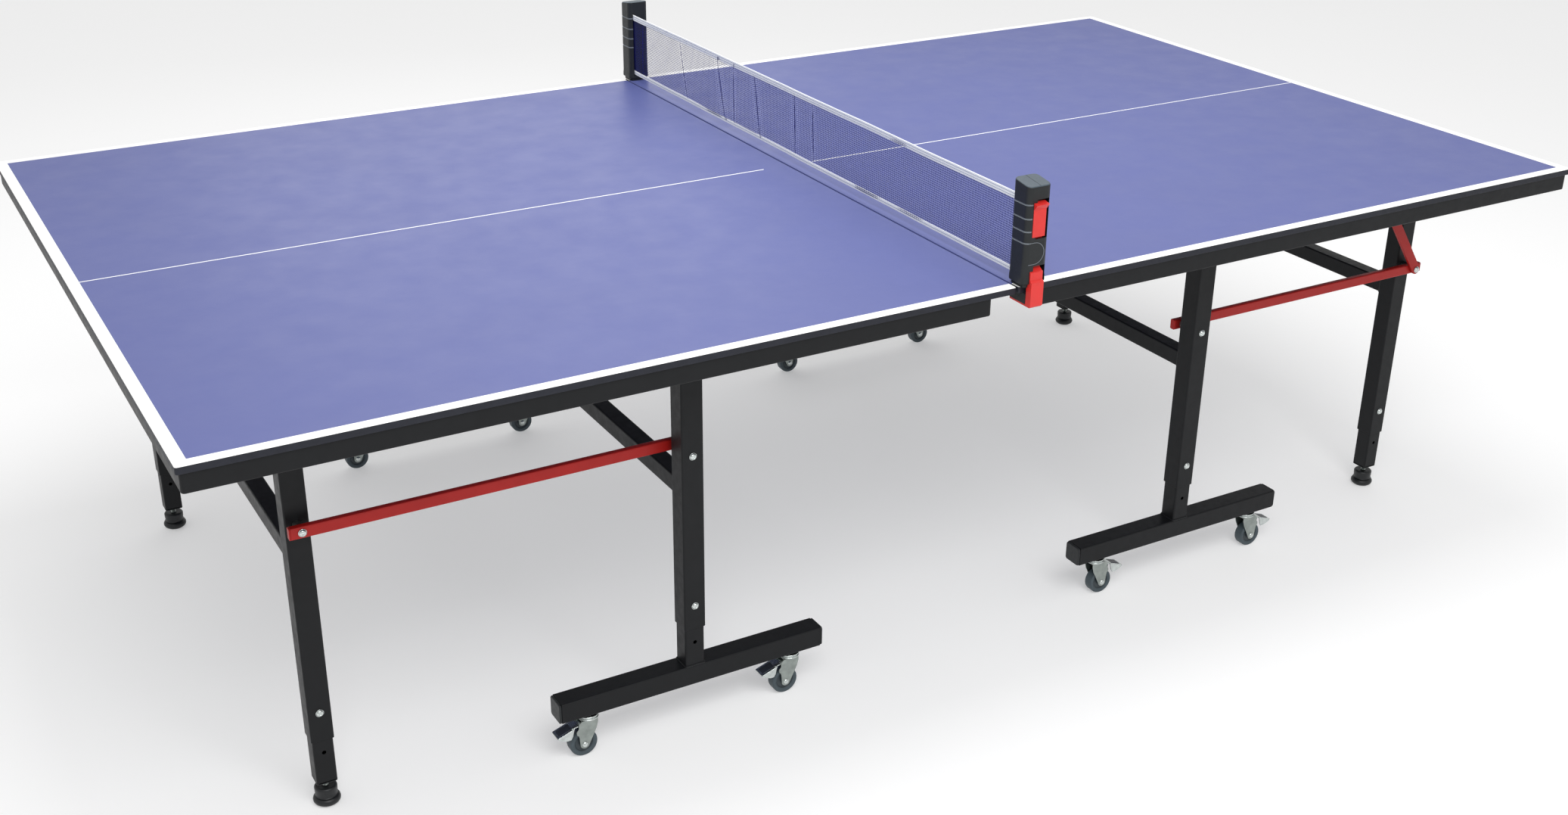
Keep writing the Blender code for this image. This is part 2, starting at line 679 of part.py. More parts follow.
def make_net_post(edge_name, edge):
    """A casing that stands on the board, hollow for the clamp lever and for the net roller."""
    name = f"{edge_name}_net_post"
    low_z = TABLE_HEIGHT + CLEAR
    middle_x = POST_LOW_X + POST_SIZE_X / 2
    outline = rounded_rectangle(POST_SIZE_X, POST_DEPTH, POST_CORNER, 4)
    centre = (middle_x, edge * POST_MID_Y, (low_z + POST_TOP) / 2)
    post = plate(name, outline, 2, centre, POST_TOP - low_z, BLACK_PLASTIC)
    for vertex in post.data.vertices:
        if vertex.co.z > 0:
            outward = 0.5 + edge * vertex.co.y / POST_DEPTH
            vertex.co.z -= POST_TOP_FALL * outward
    add_bevel(post, 0.003)
    lever_x = LEVER_LOW_X + LEVER_SIZE_X / 2
    room_x = LEVER_SIZE_X + 0.002

    def pocket(part, inner_y, outer_y, bottom, top):
        place = (lever_x, edge * (inner_y + outer_y) / 2, (bottom + top) / 2)
        return box(f"{name}_{part}", place, (room_x, outer_y - inner_y, top - bottom))

    outside = POST_OUTER_Y + 0.010
    cut(post, pocket("lever_room", 0.7540, 0.7710, 0.776, 0.912))
    cut(post, pocket("tab_window", 0.7600, outside, 0.844, 0.912))
    cut(post, pocket("jaw_window", 0.7640, outside, low_z - 0.010, 0.797))
    pin_end = LEVER_SIZE_X / 2 + LEVER_PIN_OVERHANG + 0.0008
    pin = stepped(((0.0024, pin_end, -pin_end),))
    place = (lever_x, edge * LEVER_PIVOT_Y, LEVER_PIVOT_Z)
    cut(post, turned(f"{name}_pin_hole", pin, place, (0, math.pi / 2, 0), steps=10))
    slot_depth = 0.012
    slot_size = (0.0040, slot_depth + 0.006, NET_TOP - NET_LOW + 0.004)
    slot_y = POST_INNER_Y + slot_depth / 2 - 0.003
    slot = box(f"{name}_slot", (NET_X, edge * slot_y, (NET_LOW + NET_TOP) / 2), slot_size)
    cut(post, slot)
    room = stepped(((ROLLER_RADIUS + 0.0010, NET_TOP + 0.003, NET_LOW - 0.003),))
    cut(post, turned(f"{name}_roller_room", room, (ROLLER_X, edge * ROLLER_Y, 0)))
    return post


def make_clamp_lever(edge_name, edge):
    """The spring clamp: pressing the tab at its top swings the jaw out from under the board."""
    name = f"{edge_name}_clamp_lever"
    tab = [(0.7690, 0.8480), (0.7755, 0.8480), (0.7755, 0.8950), (0.7835, 0.9050), (0.7690, 0.9080)]
    stem = [(0.7680, 0.8600), (0.7620, 0.8600), (0.7620, 0.7900), (0.7680, 0.7800)]
    jaw = [(0.7680, 0.7335), (0.7450, 0.7335), (0.7450, BOARD_LOW - 0.0006)]
    jaw += [(0.7250, BOARD_LOW - 0.0006), (0.7250, 0.7255), (0.7790, 0.7255)]
    face = [(0.7820, 0.7285), (0.7820, 0.7700), (0.7775, 0.7730), (0.7775, 0.7870), (0.7740, 0.7885)]
    back = [(0.7675, 0.7930)]
    ring = [tab[4], *stem, *jaw, *face, *back, *tab[:4]]
    outline = [(edge * (y - LEVER_PIVOT_Y), z - LEVER_PIVOT_Z) for y, z in ring]
    lever_x = LEVER_LOW_X + LEVER_SIZE_X / 2
    pivot = (lever_x, edge * LEVER_PIVOT_Y, LEVER_PIVOT_Z)
    lever = plate(name, outline, 0, pivot, LEVER_SIZE_X, RED_PLASTIC)
    pin_end = LEVER_SIZE_X / 2 + LEVER_PIN_OVERHANG
    pin = stepped(((0.0020, pin_end, -pin_end),))
    join(lever, turned(f"{name}_pin", pin, pivot, (0, math.pi / 2, 0), steps=10))


def make_net_set():
    """The net set on the right half. It returns the pieces that are fixed to the board."""
    fixed = []
    for edge_name, edge in EDGES.items():
        fixed.append(make_net_post(edge_name, edge))
        make_clamp_lever(edge_name, edge)
    net_size = (NET_THICK, 2 * NET_END_Y, NET_TOP - NET_LOW)
    fixed.append(box("net", (NET_X, 0, (NET_LOW + NET_TOP) / 2), net_size, NET_MESH))
    roll = stepped(((ROLLER_RADIUS, NET_TOP, NET_LOW),))
    turned("net_roller", roll, (ROLLER_X, -ROLLER_Y, 0), (0, 0, 0), NET_MESH, steps=20)
    return fixed


# ---------------------------------------------------------------- the whole table
def make_half(side, s, net_set):
    """One half, with the pieces that are fixed to its board, or none."""
    top = [make_board(side, s), make_apron(side, s), *net_set]
    end_tubes = []
    make_t_frame(side, s)
    make_end_leg_frame(side, s)
    make_stay(side, s)
    for edge_name, edge in EDGES.items():
        top.append(make_leg_rail(side, s, edge_name, edge))
        make_t_base(side, s, edge_name, edge)
        end_tubes.append(make_end_leg_tube(side, s, edge_name, edge))
        make_levelling_foot(side, s, edge_name, edge)
        make_link_bar(side, s, edge_name, edge)
        make_casters(side, s, edge_name, edge)
    hang(f"{side}_fold_axis", (s * FOLD_OUT, 0, PIVOT_Z), top)
    hang(f"{side}_end_legs_axis", (s * END_LEG_OUT, 0, PIVOT_Z), end_tubes)


def shade_round_pieces():
    for obj in TABLE.objects:
        if obj.type == "MESH":
            obj.data.shade_smooth()
            obj.data.set_sharp_from_angle(angle=math.radians(35))


make_half("left", SIDES["left"], [])
make_half("right", SIDES["right"], make_net_set())
shade_round_pieces()
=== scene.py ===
"""The looks of a folding table tennis table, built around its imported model.

Metres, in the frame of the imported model: +X runs along the table to the right half, +Y across it to the
far edge, +Z up, with the origin on the floor. Every piece is made where it stands, takes its size from
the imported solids, and rides on the body that those solids belong to.
"""

import json
import math

import bmesh
import bpy
from mathutils import Matrix, Vector


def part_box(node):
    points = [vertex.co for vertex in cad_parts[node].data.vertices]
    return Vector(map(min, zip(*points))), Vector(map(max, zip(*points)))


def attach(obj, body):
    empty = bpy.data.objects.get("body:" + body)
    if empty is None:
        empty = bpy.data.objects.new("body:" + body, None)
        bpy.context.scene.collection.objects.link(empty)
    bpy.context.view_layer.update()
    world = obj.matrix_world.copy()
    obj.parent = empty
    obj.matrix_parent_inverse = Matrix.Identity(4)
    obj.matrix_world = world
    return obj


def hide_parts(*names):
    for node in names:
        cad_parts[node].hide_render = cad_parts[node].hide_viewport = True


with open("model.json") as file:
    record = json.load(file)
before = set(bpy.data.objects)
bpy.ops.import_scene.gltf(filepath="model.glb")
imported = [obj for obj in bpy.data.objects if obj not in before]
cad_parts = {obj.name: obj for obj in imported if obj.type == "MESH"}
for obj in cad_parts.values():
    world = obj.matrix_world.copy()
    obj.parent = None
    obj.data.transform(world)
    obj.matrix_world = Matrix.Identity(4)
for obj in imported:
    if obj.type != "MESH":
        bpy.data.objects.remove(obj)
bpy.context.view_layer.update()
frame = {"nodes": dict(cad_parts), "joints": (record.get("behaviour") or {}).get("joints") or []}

# ---- sizes that the solids don't give, in metres
TUBE_WALL = 0.0015
TUBE_CORNER = 0.0028
TUBE_LIP = 0.0005
WELD_RADIUS = 0.0016

BORDER_LINE = 0.020
CENTRE_LINE = 0.003
CENTRE_LINE_START = 0.056
BOARD_CORNER = 0.004
BOARD_RIM = 0.0013

APRON_SHEET = 0.002
APRON_FLANGE = 0.018
APRON_LIP = 0.008
APRON_CORNER = 0.006

CROSSBAR_SIZE = 0.032
T_CROSSBAR_Z = 0.458
END_CROSSBAR_Z = 0.4675
LINK_Z = 0.523
HEAD_RADIUS = 0.0068
HEAD_HEIGHT = 0.0045
PIN_RADIUS = 0.004
SPACER_RADIUS = 0.008
CLEAR = 0.0003
SUNK = 0.0005
T_HEIGHT_BOLT_Z = 0.240
END_HEIGHT_BOLT_Z = 0.183
T_SPARE_HOLE_Z = 0.167
END_SPARE_HOLE_Z = 0.106
SPARE_HOLE_RADIUS = 0.0036
END_PLUG = 0.0045

BASE_LOW = 0.083
BASE_TOP = 0.121
CROWN_LOW = 0.0705
FORK_INNER = 0.0113
FORK_SHEET = 0.002
TRAIL = 0.0125
AXLE_Z = 0.025
TREAD_WIDTH = 0.026
TREAD_SHEET = 0.0018

POST_CORNER = 0.011
POST_PAD = 0.006
SEAM_WIDTH = 0.0007
SEAM_DEPTH = 0.0006
GROOVE_HEIGHTS = (0.904, 0.880, 0.858, 0.838)
CLIP_LINE_LOW = 0.8005
GROOVE_HALF = 0.0009
GROOVE_DEPTH = 0.0007

PIN_OVERHANG = 0.0012
# Where the lever's red jaw lies under the board: its faces there are painted black, as painted shade from
# the board.
JAW_SHADE_Y = 0.768
JAW_SHADE_LOW = 0.7262
JAW_SHADE_TOP = 0.748

NET_PITCH = 0.0040
THREAD_WIDTH = 0.00090
THREAD_THICK = 0.00036
TOP_TAPE = 0.0125
BOTTOM_TAPE = 0.0090

FLOOR_GLOW = 0.36

SIDES = {"left": -1, "right": 1}
EDGES = {"near": -1, "far": 1}
JOINTS = {joint["name"]: joint for joint in frame["joints"]}


def joint_at(name):
    return Vector(JOINTS[name]["pos_m"])


# ---- finishes
def linear(code):
    """The linear colour of an sRGB code such as "2a2b2c"."""
    channels = [int(code[i : i + 2], 16) / 255 for i in (0, 2, 4)]
    return tuple(c / 12.92 if c <= 0.04045 else ((c + 0.055) / 1.055) ** 2.4 for c in channels)


FINISHES = []  # every finish, in the order made: a face's material_index is a place in this list


class Finish:
    """A procedural material whose nodes read the place on the piece at rest."""

    def __init__(self, name, metallic=0.0, **constants):
        self.material = bpy.data.materials.new(name)
        self.material.use_nodes = True
        self.nodes = self.material.node_tree.nodes
        self.links = self.material.node_tree.links
        self.shader = self.nodes["Principled BSDF"]
        self.shader.inputs["Metallic"].default_value = metallic
        for key, value in constants.items():
            self.shader.inputs[key.replace("_", " ")].default_value = value
        self.place = self.nodes.new("ShaderNodeTexCoord").outputs["Object"]
        self.normal = None
        self.index = len(FINISHES)
        FINISHES.append(self)

    def stretched(self, scales):
        return self.node("Mapping", self.place, "Vector", Scale=scales).outputs["Vector"]

    def node(self, kind, source, into, **numbers):
        """A node of a kind, fed by a source socket, with its numbers set."""
        node = self.nodes.new(f"ShaderNode{kind}")
        for key, number in numbers.items():
            node.inputs[key.replace("_", " ")].default_value = number
        self.links.new(source, node.inputs[into])
        return node

    def noise(self, scale, detail=3.0, scales=None):
        source = self.stretched(scales) if scales else self.place
        return self.node("TexNoise", source, "Vector", Scale=scale, Detail=detail).outputs["Fac"]

    def cells(self, scale):
        return self.node("TexVoronoi", self.place, "Vector", Scale=scale).outputs["Distance"]

    def waves(self, direction, scale, distortion=0.0):
        node = self.node("TexWave", self.place, "Vector", Scale=scale, Distortion=distortion)
        node.bands_direction = direction
        return node.outputs["Fac"]

    def spread(self, value, low, high, start=0.3, end=0.7):
        """A value's run from start to end, moved to run from low to high."""
        ends = {"From_Min": start, "From_Max": end, "To_Min": low, "To_Max": high}
        return self.node("MapRange", value, "Value", **ends).outputs["Result"]

    def multiply(self, first, second):
        node = self.node("Math", first, 0)
        node.operation = "MULTIPLY"
        self.links.new(second, node.inputs[1])
        return node.outputs[0]

    def colour(self, factor, first, second):
        """Sets the colour to run from first to second as factor runs from 0 to 1."""
        node = self.nodes.new("ShaderNodeMix")
        node.data_type = "RGBA"
        ends = [socket for socket in node.inputs if socket.type == "RGBA"]
        ends[0].default_value = (*first, 1)
        ends[1].default_value = (*second, 1)
        self.links.new(factor, node.inputs["Factor"])
        result = [socket for socket in node.outputs if socket.type == "RGBA"][0]
        self.links.new(result, self.shader.inputs["Base Color"])

    def rough(self, factor, low, high):
        self.links.new(self.spread(factor, low, high), self.shader.inputs["Roughness"])

    def bump(self, height, depth, strength=1.0):
        node = self.node("Bump", height, "Height", Strength=strength, Distance=depth)
        if self.normal:
            self.links.new(self.normal, node.inputs["Normal"])
        self.normal = node.outputs["Normal"]
        self.links.new(self.normal, self.shader.inputs["Normal"])


def shades(code, share):
    """A colour a share darker and a share lighter than an sRGB code."""
    base = linear(code)
    return tuple(c * (1 - share) for c in base), tuple(min(1.0, c * (1 + share)) for c in base)


def mottled(name, code, share, patch, rough, grain, depth, metallic=0.0, **constants):
    """A finish with soft patches of shade, and a fine grain of that many features a metre."""
    made = Finish(name, metallic, **constants)
    made.colour(made.spread(made.noise(patch, 4.0), 0, 1), *shades(code, share))
    made.rough(made.noise(patch * 3.1, 3.0), rough[0], rough[1])
    made.bump(made.noise(grain, 2.0), depth)
    return made


def powder_coat(name, code, rough, specular):
    made = mottled(name, code, 0.07, 24, rough, 1300, 0.00005, Specular_IOR_Level=specular)
    made.bump(made.noise(420, 1.0), 0.00003)
    return made


BLUE = mottled("blue_playing_coat", "545c94", 0.012, 5, (0.36, 0.46), 1400, 0.00005)
BLUE.bump(BLUE.noise(160, 2.0), 0.00005)
WHITE = mottled("white_line_paint", "f4f4f2", 0.015, 30, (0.38, 0.50), 1400, 0.00005)
BAND = mottled("sealed_board_edge", "1d1f28", 0.14, 60, (0.45, 0.60), 900, 0.00008, Specular_IOR_Level=0.30)
BAND.bump(BAND.noise(260, 3.0, (0.2, 0.2, 6.0)), 0.00008)
UNDER = mottled("painted_underside", "2b3350", 0.14, 35, (0.60, 0.75), 500, 0.00012)
STEEL = powder_coat("black_powder_coat", "151618", (0.38, 0.50), 0.20)
RED_STEEL = powder_coat("red_powder_coat", "a01612", (0.36, 0.46), 0.28)
WELD = mottled("painted_weld", "17181a", 0.20, 300, (0.35, 0.50), 1500, 0.00010, Specular_IOR_Level=0.30)
ZINC = mottled("zinc_plate", "9aa19d", 0.16, 70, (0.28, 0.44), 700, 0.00003, metallic=1.0)
ZINC.bump(ZINC.cells(110), 0.00012, 0.4)
# A paler, smoother copy of the zinc: the lower roughness is its own, the paler colour is painted highlight
# on the raceway, balls, axle heads, bolt heads and pedal.
HIGHLIGHT_ZINC = mottled("smooth_zinc_painted_highlight", "ccd2d0", 0.12, 150, (0.14, 0.26), 900, 0.00002, metallic=1.0)
TYRE = mottled("grey_tyre", "3b474d", 0.10, 80, (0.50, 0.62), 900, 0.00006)
HUB = mottled("wheel_hub", "2c363b", 0.10, 80, (0.42, 0.52), 900, 0.00004)
BLACK_PLASTIC = mottled(
    "moulded_black_plastic", "1c1f21", 0.08, 50, (0.40, 0.52), 1600, 0.00005, Specular_IOR_Level=0.34
)
BLACK_PLASTIC.bump(BLACK_PLASTIC.cells(900), 0.00003)
# A lighter slate grey, given to the faces that point up near the post's top.
SLATE_PLASTIC = mottled("lighter_slate_top_faces", "3f4b54", 0.06, 60, (0.40, 0.50), 1600, 0.00005)
# A lighter grey for the faces in the grooves and for the clip line: painted highlight where the grooves'
# lips catch the light.
GROOVE_HIGHLIGHT = mottled("casing_groove_highlight", "6c7278", 0.05, 80, (0.45, 0.55), 1500, 0.00003)
FOOT_RUBBER = mottled(
    "foot_rubber", "17191b", 0.10, 70, (0.36, 0.48), 900, 0.00006, Specular_IOR_Level=0.40
)
PAD = mottled("pedal_pad", "1c222e", 0.12, 120, (0.34, 0.46), 1200, 0.00004)
RED_PLASTIC = mottled("red_clamp_plastic", "d42a25", 0.05, 60, (0.32, 0.42), 1500, 0.00004)
THREAD = Finish("net_yarn", Specular_IOR_Level=0.25)
THREAD.colour(THREAD.spread(THREAD.noise(60, 3.0), 0, 1), *shades("0e1466", 0.20))
THREAD.rough(THREAD.noise(200), 0.70, 0.85)
THREAD.bump(THREAD.noise(2600, 2.0, (1.0, 1.0, 0.4)), 0.00010)
TAPE = Finish("woven_white_tape", Sheen_Weight=0.20, Sheen_Roughness=0.4)
WEAVE = TAPE.multiply(TAPE.waves("Y", 520, 0.4), TAPE.waves("Z", 520, 0.4))
TAPE.colour(TAPE.spread(WEAVE, 0, 1, 0.0, 0.6), linear("e2e6ea"), linear("fbfbfb"))
TAPE.rough(TAPE.noise(90), 0.72, 0.85)
TAPE.bump(WEAVE, 0.00012)
STITCH = mottled("tape_stitching", "7f8ba3", 0.10, 400, (0.75, 0.85), 1800, 0.00010)
ROLL_CLOTH = Finish("rolled_net", Sheen_Weight=0.25)
ROLL_WEAVE = ROLL_CLOTH.multiply(ROLL_CLOTH.waves("Z", 125), ROLL_CLOTH.waves("X", 125))
ROLL_CLOTH.colour(ROLL_CLOTH.spread(ROLL_WEAVE, 0, 1, 0.0, 0.7), linear("12142c"), linear("2a2f5e"))
ROLL_CLOTH.rough(ROLL_CLOTH.noise(200), 0.7, 0.85)
ROLL_CLOTH.bump(ROLL_WEAVE, 0.0002)


# ---- shapes, each a closed bmesh
def closed(bm, finish):
    """Joins points that coincide, turns every face outwards and gives the shape its finish."""
    bmesh.ops.remove_doubles(bm, verts=bm.verts, dist=0.0000005)
    bmesh.ops.recalc_face_normals(bm, faces=bm.faces)
    for face in bm.faces:
        face.material_index = finish.index
    return bm


def on_axis(axis, along, first, second):
    """The point at a distance along an axis, with its other two coordinates in their X, Y, Z order."""
    point = [first, second]
    point.insert(axis, along)
    return Vector(point)


def loft(rings, wrap=False, caps=True):
    """Quads between rings of as many points each. With wrap, the last ring joins the first."""
    bm = bmesh.new()
    rows = [[bm.verts.new(point) for point in ring] for ring in rings]
    pairs = list(zip(rows, rows[1:]))
    if wrap:
        pairs.append((rows[-1], rows[0]))
    for lower, upper in pairs:
        for i in range(len(lower)):
            j = (i + 1) % len(lower)
            bm.faces.new((lower[i], lower[j], upper[j], upper[i]))
    if caps and not wrap:
        bm.faces.new(rows[0])
        bm.faces.new(rows[-1])
    return bm


def polar(radius, angle, middle=(0, 0)):
    """The flat point at a radius and an angle from a middle."""
    return middle[0] + radius * math.cos(angle), middle[1] + radius * math.sin(angle)


def between(low, high):
    """The point halfway between two corners."""
    return [(a + b) / 2 for a, b in zip(low, high)]


def rounded_rectangle(width, height, radius, steps=5):
    """Points round a rectangle about the origin. Each straight side is two long edges."""
    points = []
    for quarter, (a, b) in enumerate(((1, 1), (-1, 1), (-1, -1), (1, -1))):
        middle = (a * (width / 2 - radius), b * (height / 2 - radius))
        angles = [math.pi / 2 * (quarter + i / steps) for i in range(steps + 1)]
        points += [polar(radius, angle, middle) for angle in angles]
    return points


def arc(middle, radius, start, end, steps):
    """Points along part of a circle, from one angle in degrees to another."""
    angles = [start + (end - start) * i / steps for i in range(steps + 1)]
    return [polar(radius, math.radians(angle), middle) for angle in angles]


def section(axis, along, centre, size, corner, inset=0.0):
    """A ring of the rounded section of a bar that runs along an axis."""
    outline = rounded_rectangle(size[0] - 2 * inset, size[1] - 2 * inset, max(corner - inset, 0.0003))
    return [on_axis(axis, along, centre[0] + a, centre[1] + b) for a, b in outline]


def tube(axis, span, centre, size, finish, corner=TUBE_CORNER, wall=TUBE_WALL):
    """A hollow rounded tube, with the edges of its cut ends eased."""
    low, high = span
    outside = ((low + TUBE_LIP, 0), (high - TUBE_LIP, 0), (high, TUBE_LIP))
    inside = ((high, wall), (low, wall), (low, TUBE_LIP))
    rings = [section(axis, t, centre, size, corner, inset) for t, inset in outside + inside]
    return closed(loft(rings, wrap=True), finish)


def bar(axis, span, centre, size, finish, corner=0.003, ease=0.001, steps=3):
    """A solid rounded bar, with its end edges rounded by ease."""
    low, high = span
    angles = [math.pi / 2 * i / steps for i in range(steps + 1)]
    rounding = [(ease * (1 - math.cos(angle)), ease * (1 - math.sin(angle))) for angle in angles]
    places = [(low + along, inset) for along, inset in rounding]
    places += [(high - along, inset) for along, inset in reversed(rounding)]
    rings = [section(axis, along, centre, size, corner, inset) for along, inset in places]
    return closed(loft(rings), finish)


def lathe(profile, finish, matrix=None, steps=32):
    """A profile of (radius, height) points from axis to axis, turned about Z and then placed."""
    bm = bmesh.new()
    rows = []
    for radius, height in profile:
        count = 1 if radius < 0.0000001 else steps
        points = [(*polar(radius, 2 * math.pi * i / steps), height) for i in range(count)]
        rows.append([bm.verts.new(point) for point in points])
    for first, second in zip(rows, rows[1:]):
        for i in range(steps):
            j = (i + 1) % steps
            corners = [first[i % len(first)], first[j % len(first)]]
            corners += [second[j % len(second)], second[i % len(second)]]
            corners = [c for n, c in enumerate(corners) if c not in corners[:n]]
            if len(corners) > 2:
                bm.faces.new(corners)
    if matrix is not None:
        bmesh.ops.transform(bm, matrix=matrix, verts=bm.verts)
    return closed(bm, finish)


def ring_lathe(profile, finish, matrix, steps=40):
    """A closed profile turned about Z, for a wheel with a bore."""
    angles = [2 * math.pi * i / steps for i in range(steps)]
    bm = loft([[(*polar(r, angle), h) for r, h in profile] for angle in angles], wrap=True)
    bmesh.ops.transform(bm, matrix=matrix, verts=bm.verts)
    return closed(bm, finish)


def pointing(place, direction):
    """The placement of a turned shape whose +Z points in a direction."""
    turn = Vector((0, 0, 1)).rotation_difference(Vector(direction)).to_matrix().to_4x4()
    return Matrix.Translation(place) @ turn


def round_edges(bm, edges, radius, segments, clamp=False):
    shape = {"segments": segments, "profile": 0.5, "affect": "EDGES", "clamp_overlap": clamp}
    bmesh.ops.bevel(bm, geom=list(edges), offset=radius, **shape)


def prism(outline, axis, span, finish, ease=0.0, segments=2):
    """A flat outline, in the other two axes in their X, Y, Z order, made thick along an axis."""
    bm = loft([[on_axis(axis, t, a, b) for a, b in outline] for t in span])
    bmesh.ops.recalc_face_normals(bm, faces=bm.faces)
    caps = bm.faces[:][-2:]
    if ease:
        round_edges(bm, {edge for cap in caps for edge in cap.edges}, ease, segments, True)
    return closed(bm, finish)


def cuboid(low, high):
    bm = bmesh.new()
    bmesh.ops.create_cube(bm, size=1.0)
    bmesh.ops.scale(bm, vec=[b - a for a, b in zip(low, high)], verts=bm.verts)
    bmesh.ops.translate(bm, vec=between(low, high), verts=bm.verts)
    return bm


def block(low, high, finish, ease=0.0008, segments=2):
    bm = cuboid(low, high)
    if ease:
        round_edges(bm, bm.edges, ease, segments)
    return closed(bm, finish)


def strand(path, radius, finish, loop=False, sides=6, ripple=0.0):
    """A round bead or cord that follows a path. Its radius ripples by a share from point to point."""
    path = [Vector(point) for point in path]
    count = len(path)
    rings = []
    for i, point in enumerate(path):
        before = path[i - 1] if i or loop else point
        after = path[(i + 1) % count] if i < count - 1 or loop else point
        forward = (after - before).normalized()
        aside = forward.cross(Vector((0.31, 0.52, 0.79))).normalized()
        up = forward.cross(aside)
        size = radius * (1 + ripple * math.sin(i * 2.4) * math.cos(i * 1.7))
        angles = [2 * math.pi * k / sides for k in range(sides)]
        rings.append([point + aside * size * math.cos(a) + up * size * math.sin(a) for a in angles])
    return closed(loft(rings, wrap=loop), finish)


def weld(axis, along, centre, size, corner=0.003):
    """A rippled bead round a rectangular tube, where it meets a face square to its axis."""
    outline = rounded_rectangle(size[0], size[1], corner, 3)
    path = []
    for i, (a, b) in enumerate(outline):
        c, d = outline[(i + 1) % len(outline)]
        steps = max(1, int(math.hypot(c - a, d - b) / 0.0022))
        for k in range(steps):
            share = k / steps
            first = centre[0] + a + (c - a) * share
            second = centre[1] + b + (d - b) * share
            path.append(on_axis(axis, along, first, second))
    return strand(path, WELD_RADIUS, WELD, loop=True, sides=8, ripple=0.16)


def mesh_of(bm, name):
    """Turns a shape into a mesh, and frees the shape."""
    mesh = bpy.data.meshes.new(name)
    bm.to_mesh(mesh)
    bm.free()
    return mesh


def stand(name, data):
    """A new object in the scene's own collection."""
    obj = bpy.data.objects.new(name, data)
    bpy.context.scene.collection.objects.link(obj)
    return obj


def carve(bm, *cutters):
    """Cuts the cutters out of a shape, and keeps each face's finish."""
    made = []
    for part in (bm, *cutters):
        mesh = mesh_of(part, "carving")
        for finish in FINISHES:
            mesh.materials.append(finish.material)
        made.append(stand("carving", mesh))
    for cutter in made[1:]:
        boolean = made[0].modifiers.new("cut", "BOOLEAN")
        boolean.operation = "DIFFERENCE"
        boolean.object = cutter
    graph = bpy.context.evaluated_depsgraph_get()
    result = bmesh.new()
    result.from_mesh(bpy.data.meshes.new_from_object(made[0].evaluated_get(graph)))
    for obj in made:
        bpy.data.objects.remove(obj, do_unlink=True)
    return result


LOOKS = bpy.data.collections.new("table_tennis_table")
bpy.context.scene.collection.children.link(LOOKS)


def piece(name, parts, body, replaced=(), smooth=40):
    """Joins shapes into one visible piece that rides on a body and stands for some solids."""
    whole = bmesh.new()
    for part in parts:
        mesh = mesh_of(part, "part")
        whole.from_mesh(mesh)
        bpy.data.meshes.remove(mesh)
    used = sorted({face.material_index for face in whole.faces})
    for face in whole.faces:
        face.material_index = used.index(face.material_index)
    mesh = mesh_of(whole, name)
    for index in used:
        mesh.materials.append(FINISHES[index].material)
    mesh.shade_smooth()
    mesh.set_sharp_from_angle(angle=math.radians(smooth))
    obj = bpy.data.objects.new(name, mesh)
    LOOKS.objects.link(obj)
    weighted = obj.modifiers.new("even_shading", "WEIGHTED_NORMAL")
    weighted.keep_sharp = True
    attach(obj, body)
    if replaced:
        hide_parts(*replaced)
    return obj


# ---- the tops
def make_board(side, s):
    """The board, with its painted lines as faces of their own and a sealed edge band."""
    low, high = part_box(f"{side}_board")
    bm = cuboid(low, high)
    upright = [e for e in bm.edges if abs(e.verts[0].co.z - e.verts[1].co.z) > 0.001]
    round_edges(bm, upright, BOARD_CORNER, 5)
    flat = [f for f in bm.faces if abs(f.normal.z) > 0.9]
    round_edges(bm, {edge for face in flat for edge in face.edges}, BOARD_RIM, 3)
    end = max(abs(low.x), abs(high.x))
    width = high.y
    planes = [((s * x, 0, 0), (1, 0, 0)) for x in (CENTRE_LINE_START, end - BORDER_LINE)]
    for y in (CENTRE_LINE / 2, width - BORDER_LINE):
        planes += [((0, y, 0), (0, 1, 0)), ((0, -y, 0), (0, 1, 0))]
    for place, normal in planes:
        geometry = bm.verts[:] + bm.edges[:] + bm.faces[:]
        bmesh.ops.bisect_plane(bm, geom=geometry, plane_co=place, plane_no=normal, dist=0.000001)
    bmesh.ops.recalc_face_normals(bm, faces=bm.faces)
    bm.normal_update()
    for face in bm.faces:
        centre = face.calc_center_median()
        out = abs(centre.x)
        border = abs(centre.y) > width - BORDER_LINE or out > end - BORDER_LINE
        line = abs(centre.y) < CENTRE_LINE / 2 and out > CENTRE_LINE_START
        finish = WHITE if border or line else BLUE
        if face.normal.z < 0.35:
            inner = face.normal.x * s < -0.9 and abs(centre.y) < width - BORDER_LINE
            finish = BLUE if inner else BAND
        if face.normal.z < -0.8:
            finish = UNDER
        face.material_index = finish.index
    piece(f"{side}_top_board", [bm], f"{side}_top", [f"{side}_board"])


def make_apron(side):
    """The folded steel rim: a flange under the board, an upright web and a lip turned in below."""
    low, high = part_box(f"{side}_apron_frame")
    sheet = APRON_SHEET
    bend = 0.0022
    profile = arc((bend, high.z - bend), bend, 180, 90, 3)
    profile += [(APRON_FLANGE, high.z), (APRON_FLANGE, high.z - sheet)]
    profile += [(sheet + 0.0008, high.z - sheet), (sheet, high.z - sheet - 0.0008)]
    profile += [(sheet, low.z + sheet + 0.0008), (sheet + 0.0008, low.z + sheet)]
    profile += [(APRON_LIP, low.z + sheet), (APRON_LIP, low.z)]
    profile += arc((bend, low.z + bend), bend, 270, 180, 3)
    middle = (low + high) / 2
    rings = []
    for inset, z in profile:
        size = (high.x - low.x - 2 * inset, high.y - low.y - 2 * inset)
        outline = rounded_rectangle(*size, max(APRON_CORNER - inset, 0.0004), 6)
        rings.append([(middle.x + a, middle.y + b, z) for a, b in outline])
    rim = closed(loft(rings, wrap=True), STEEL)
    piece(f"{side}_apron", [rim], f"{side}_top", [f"{side}_apron_frame"])


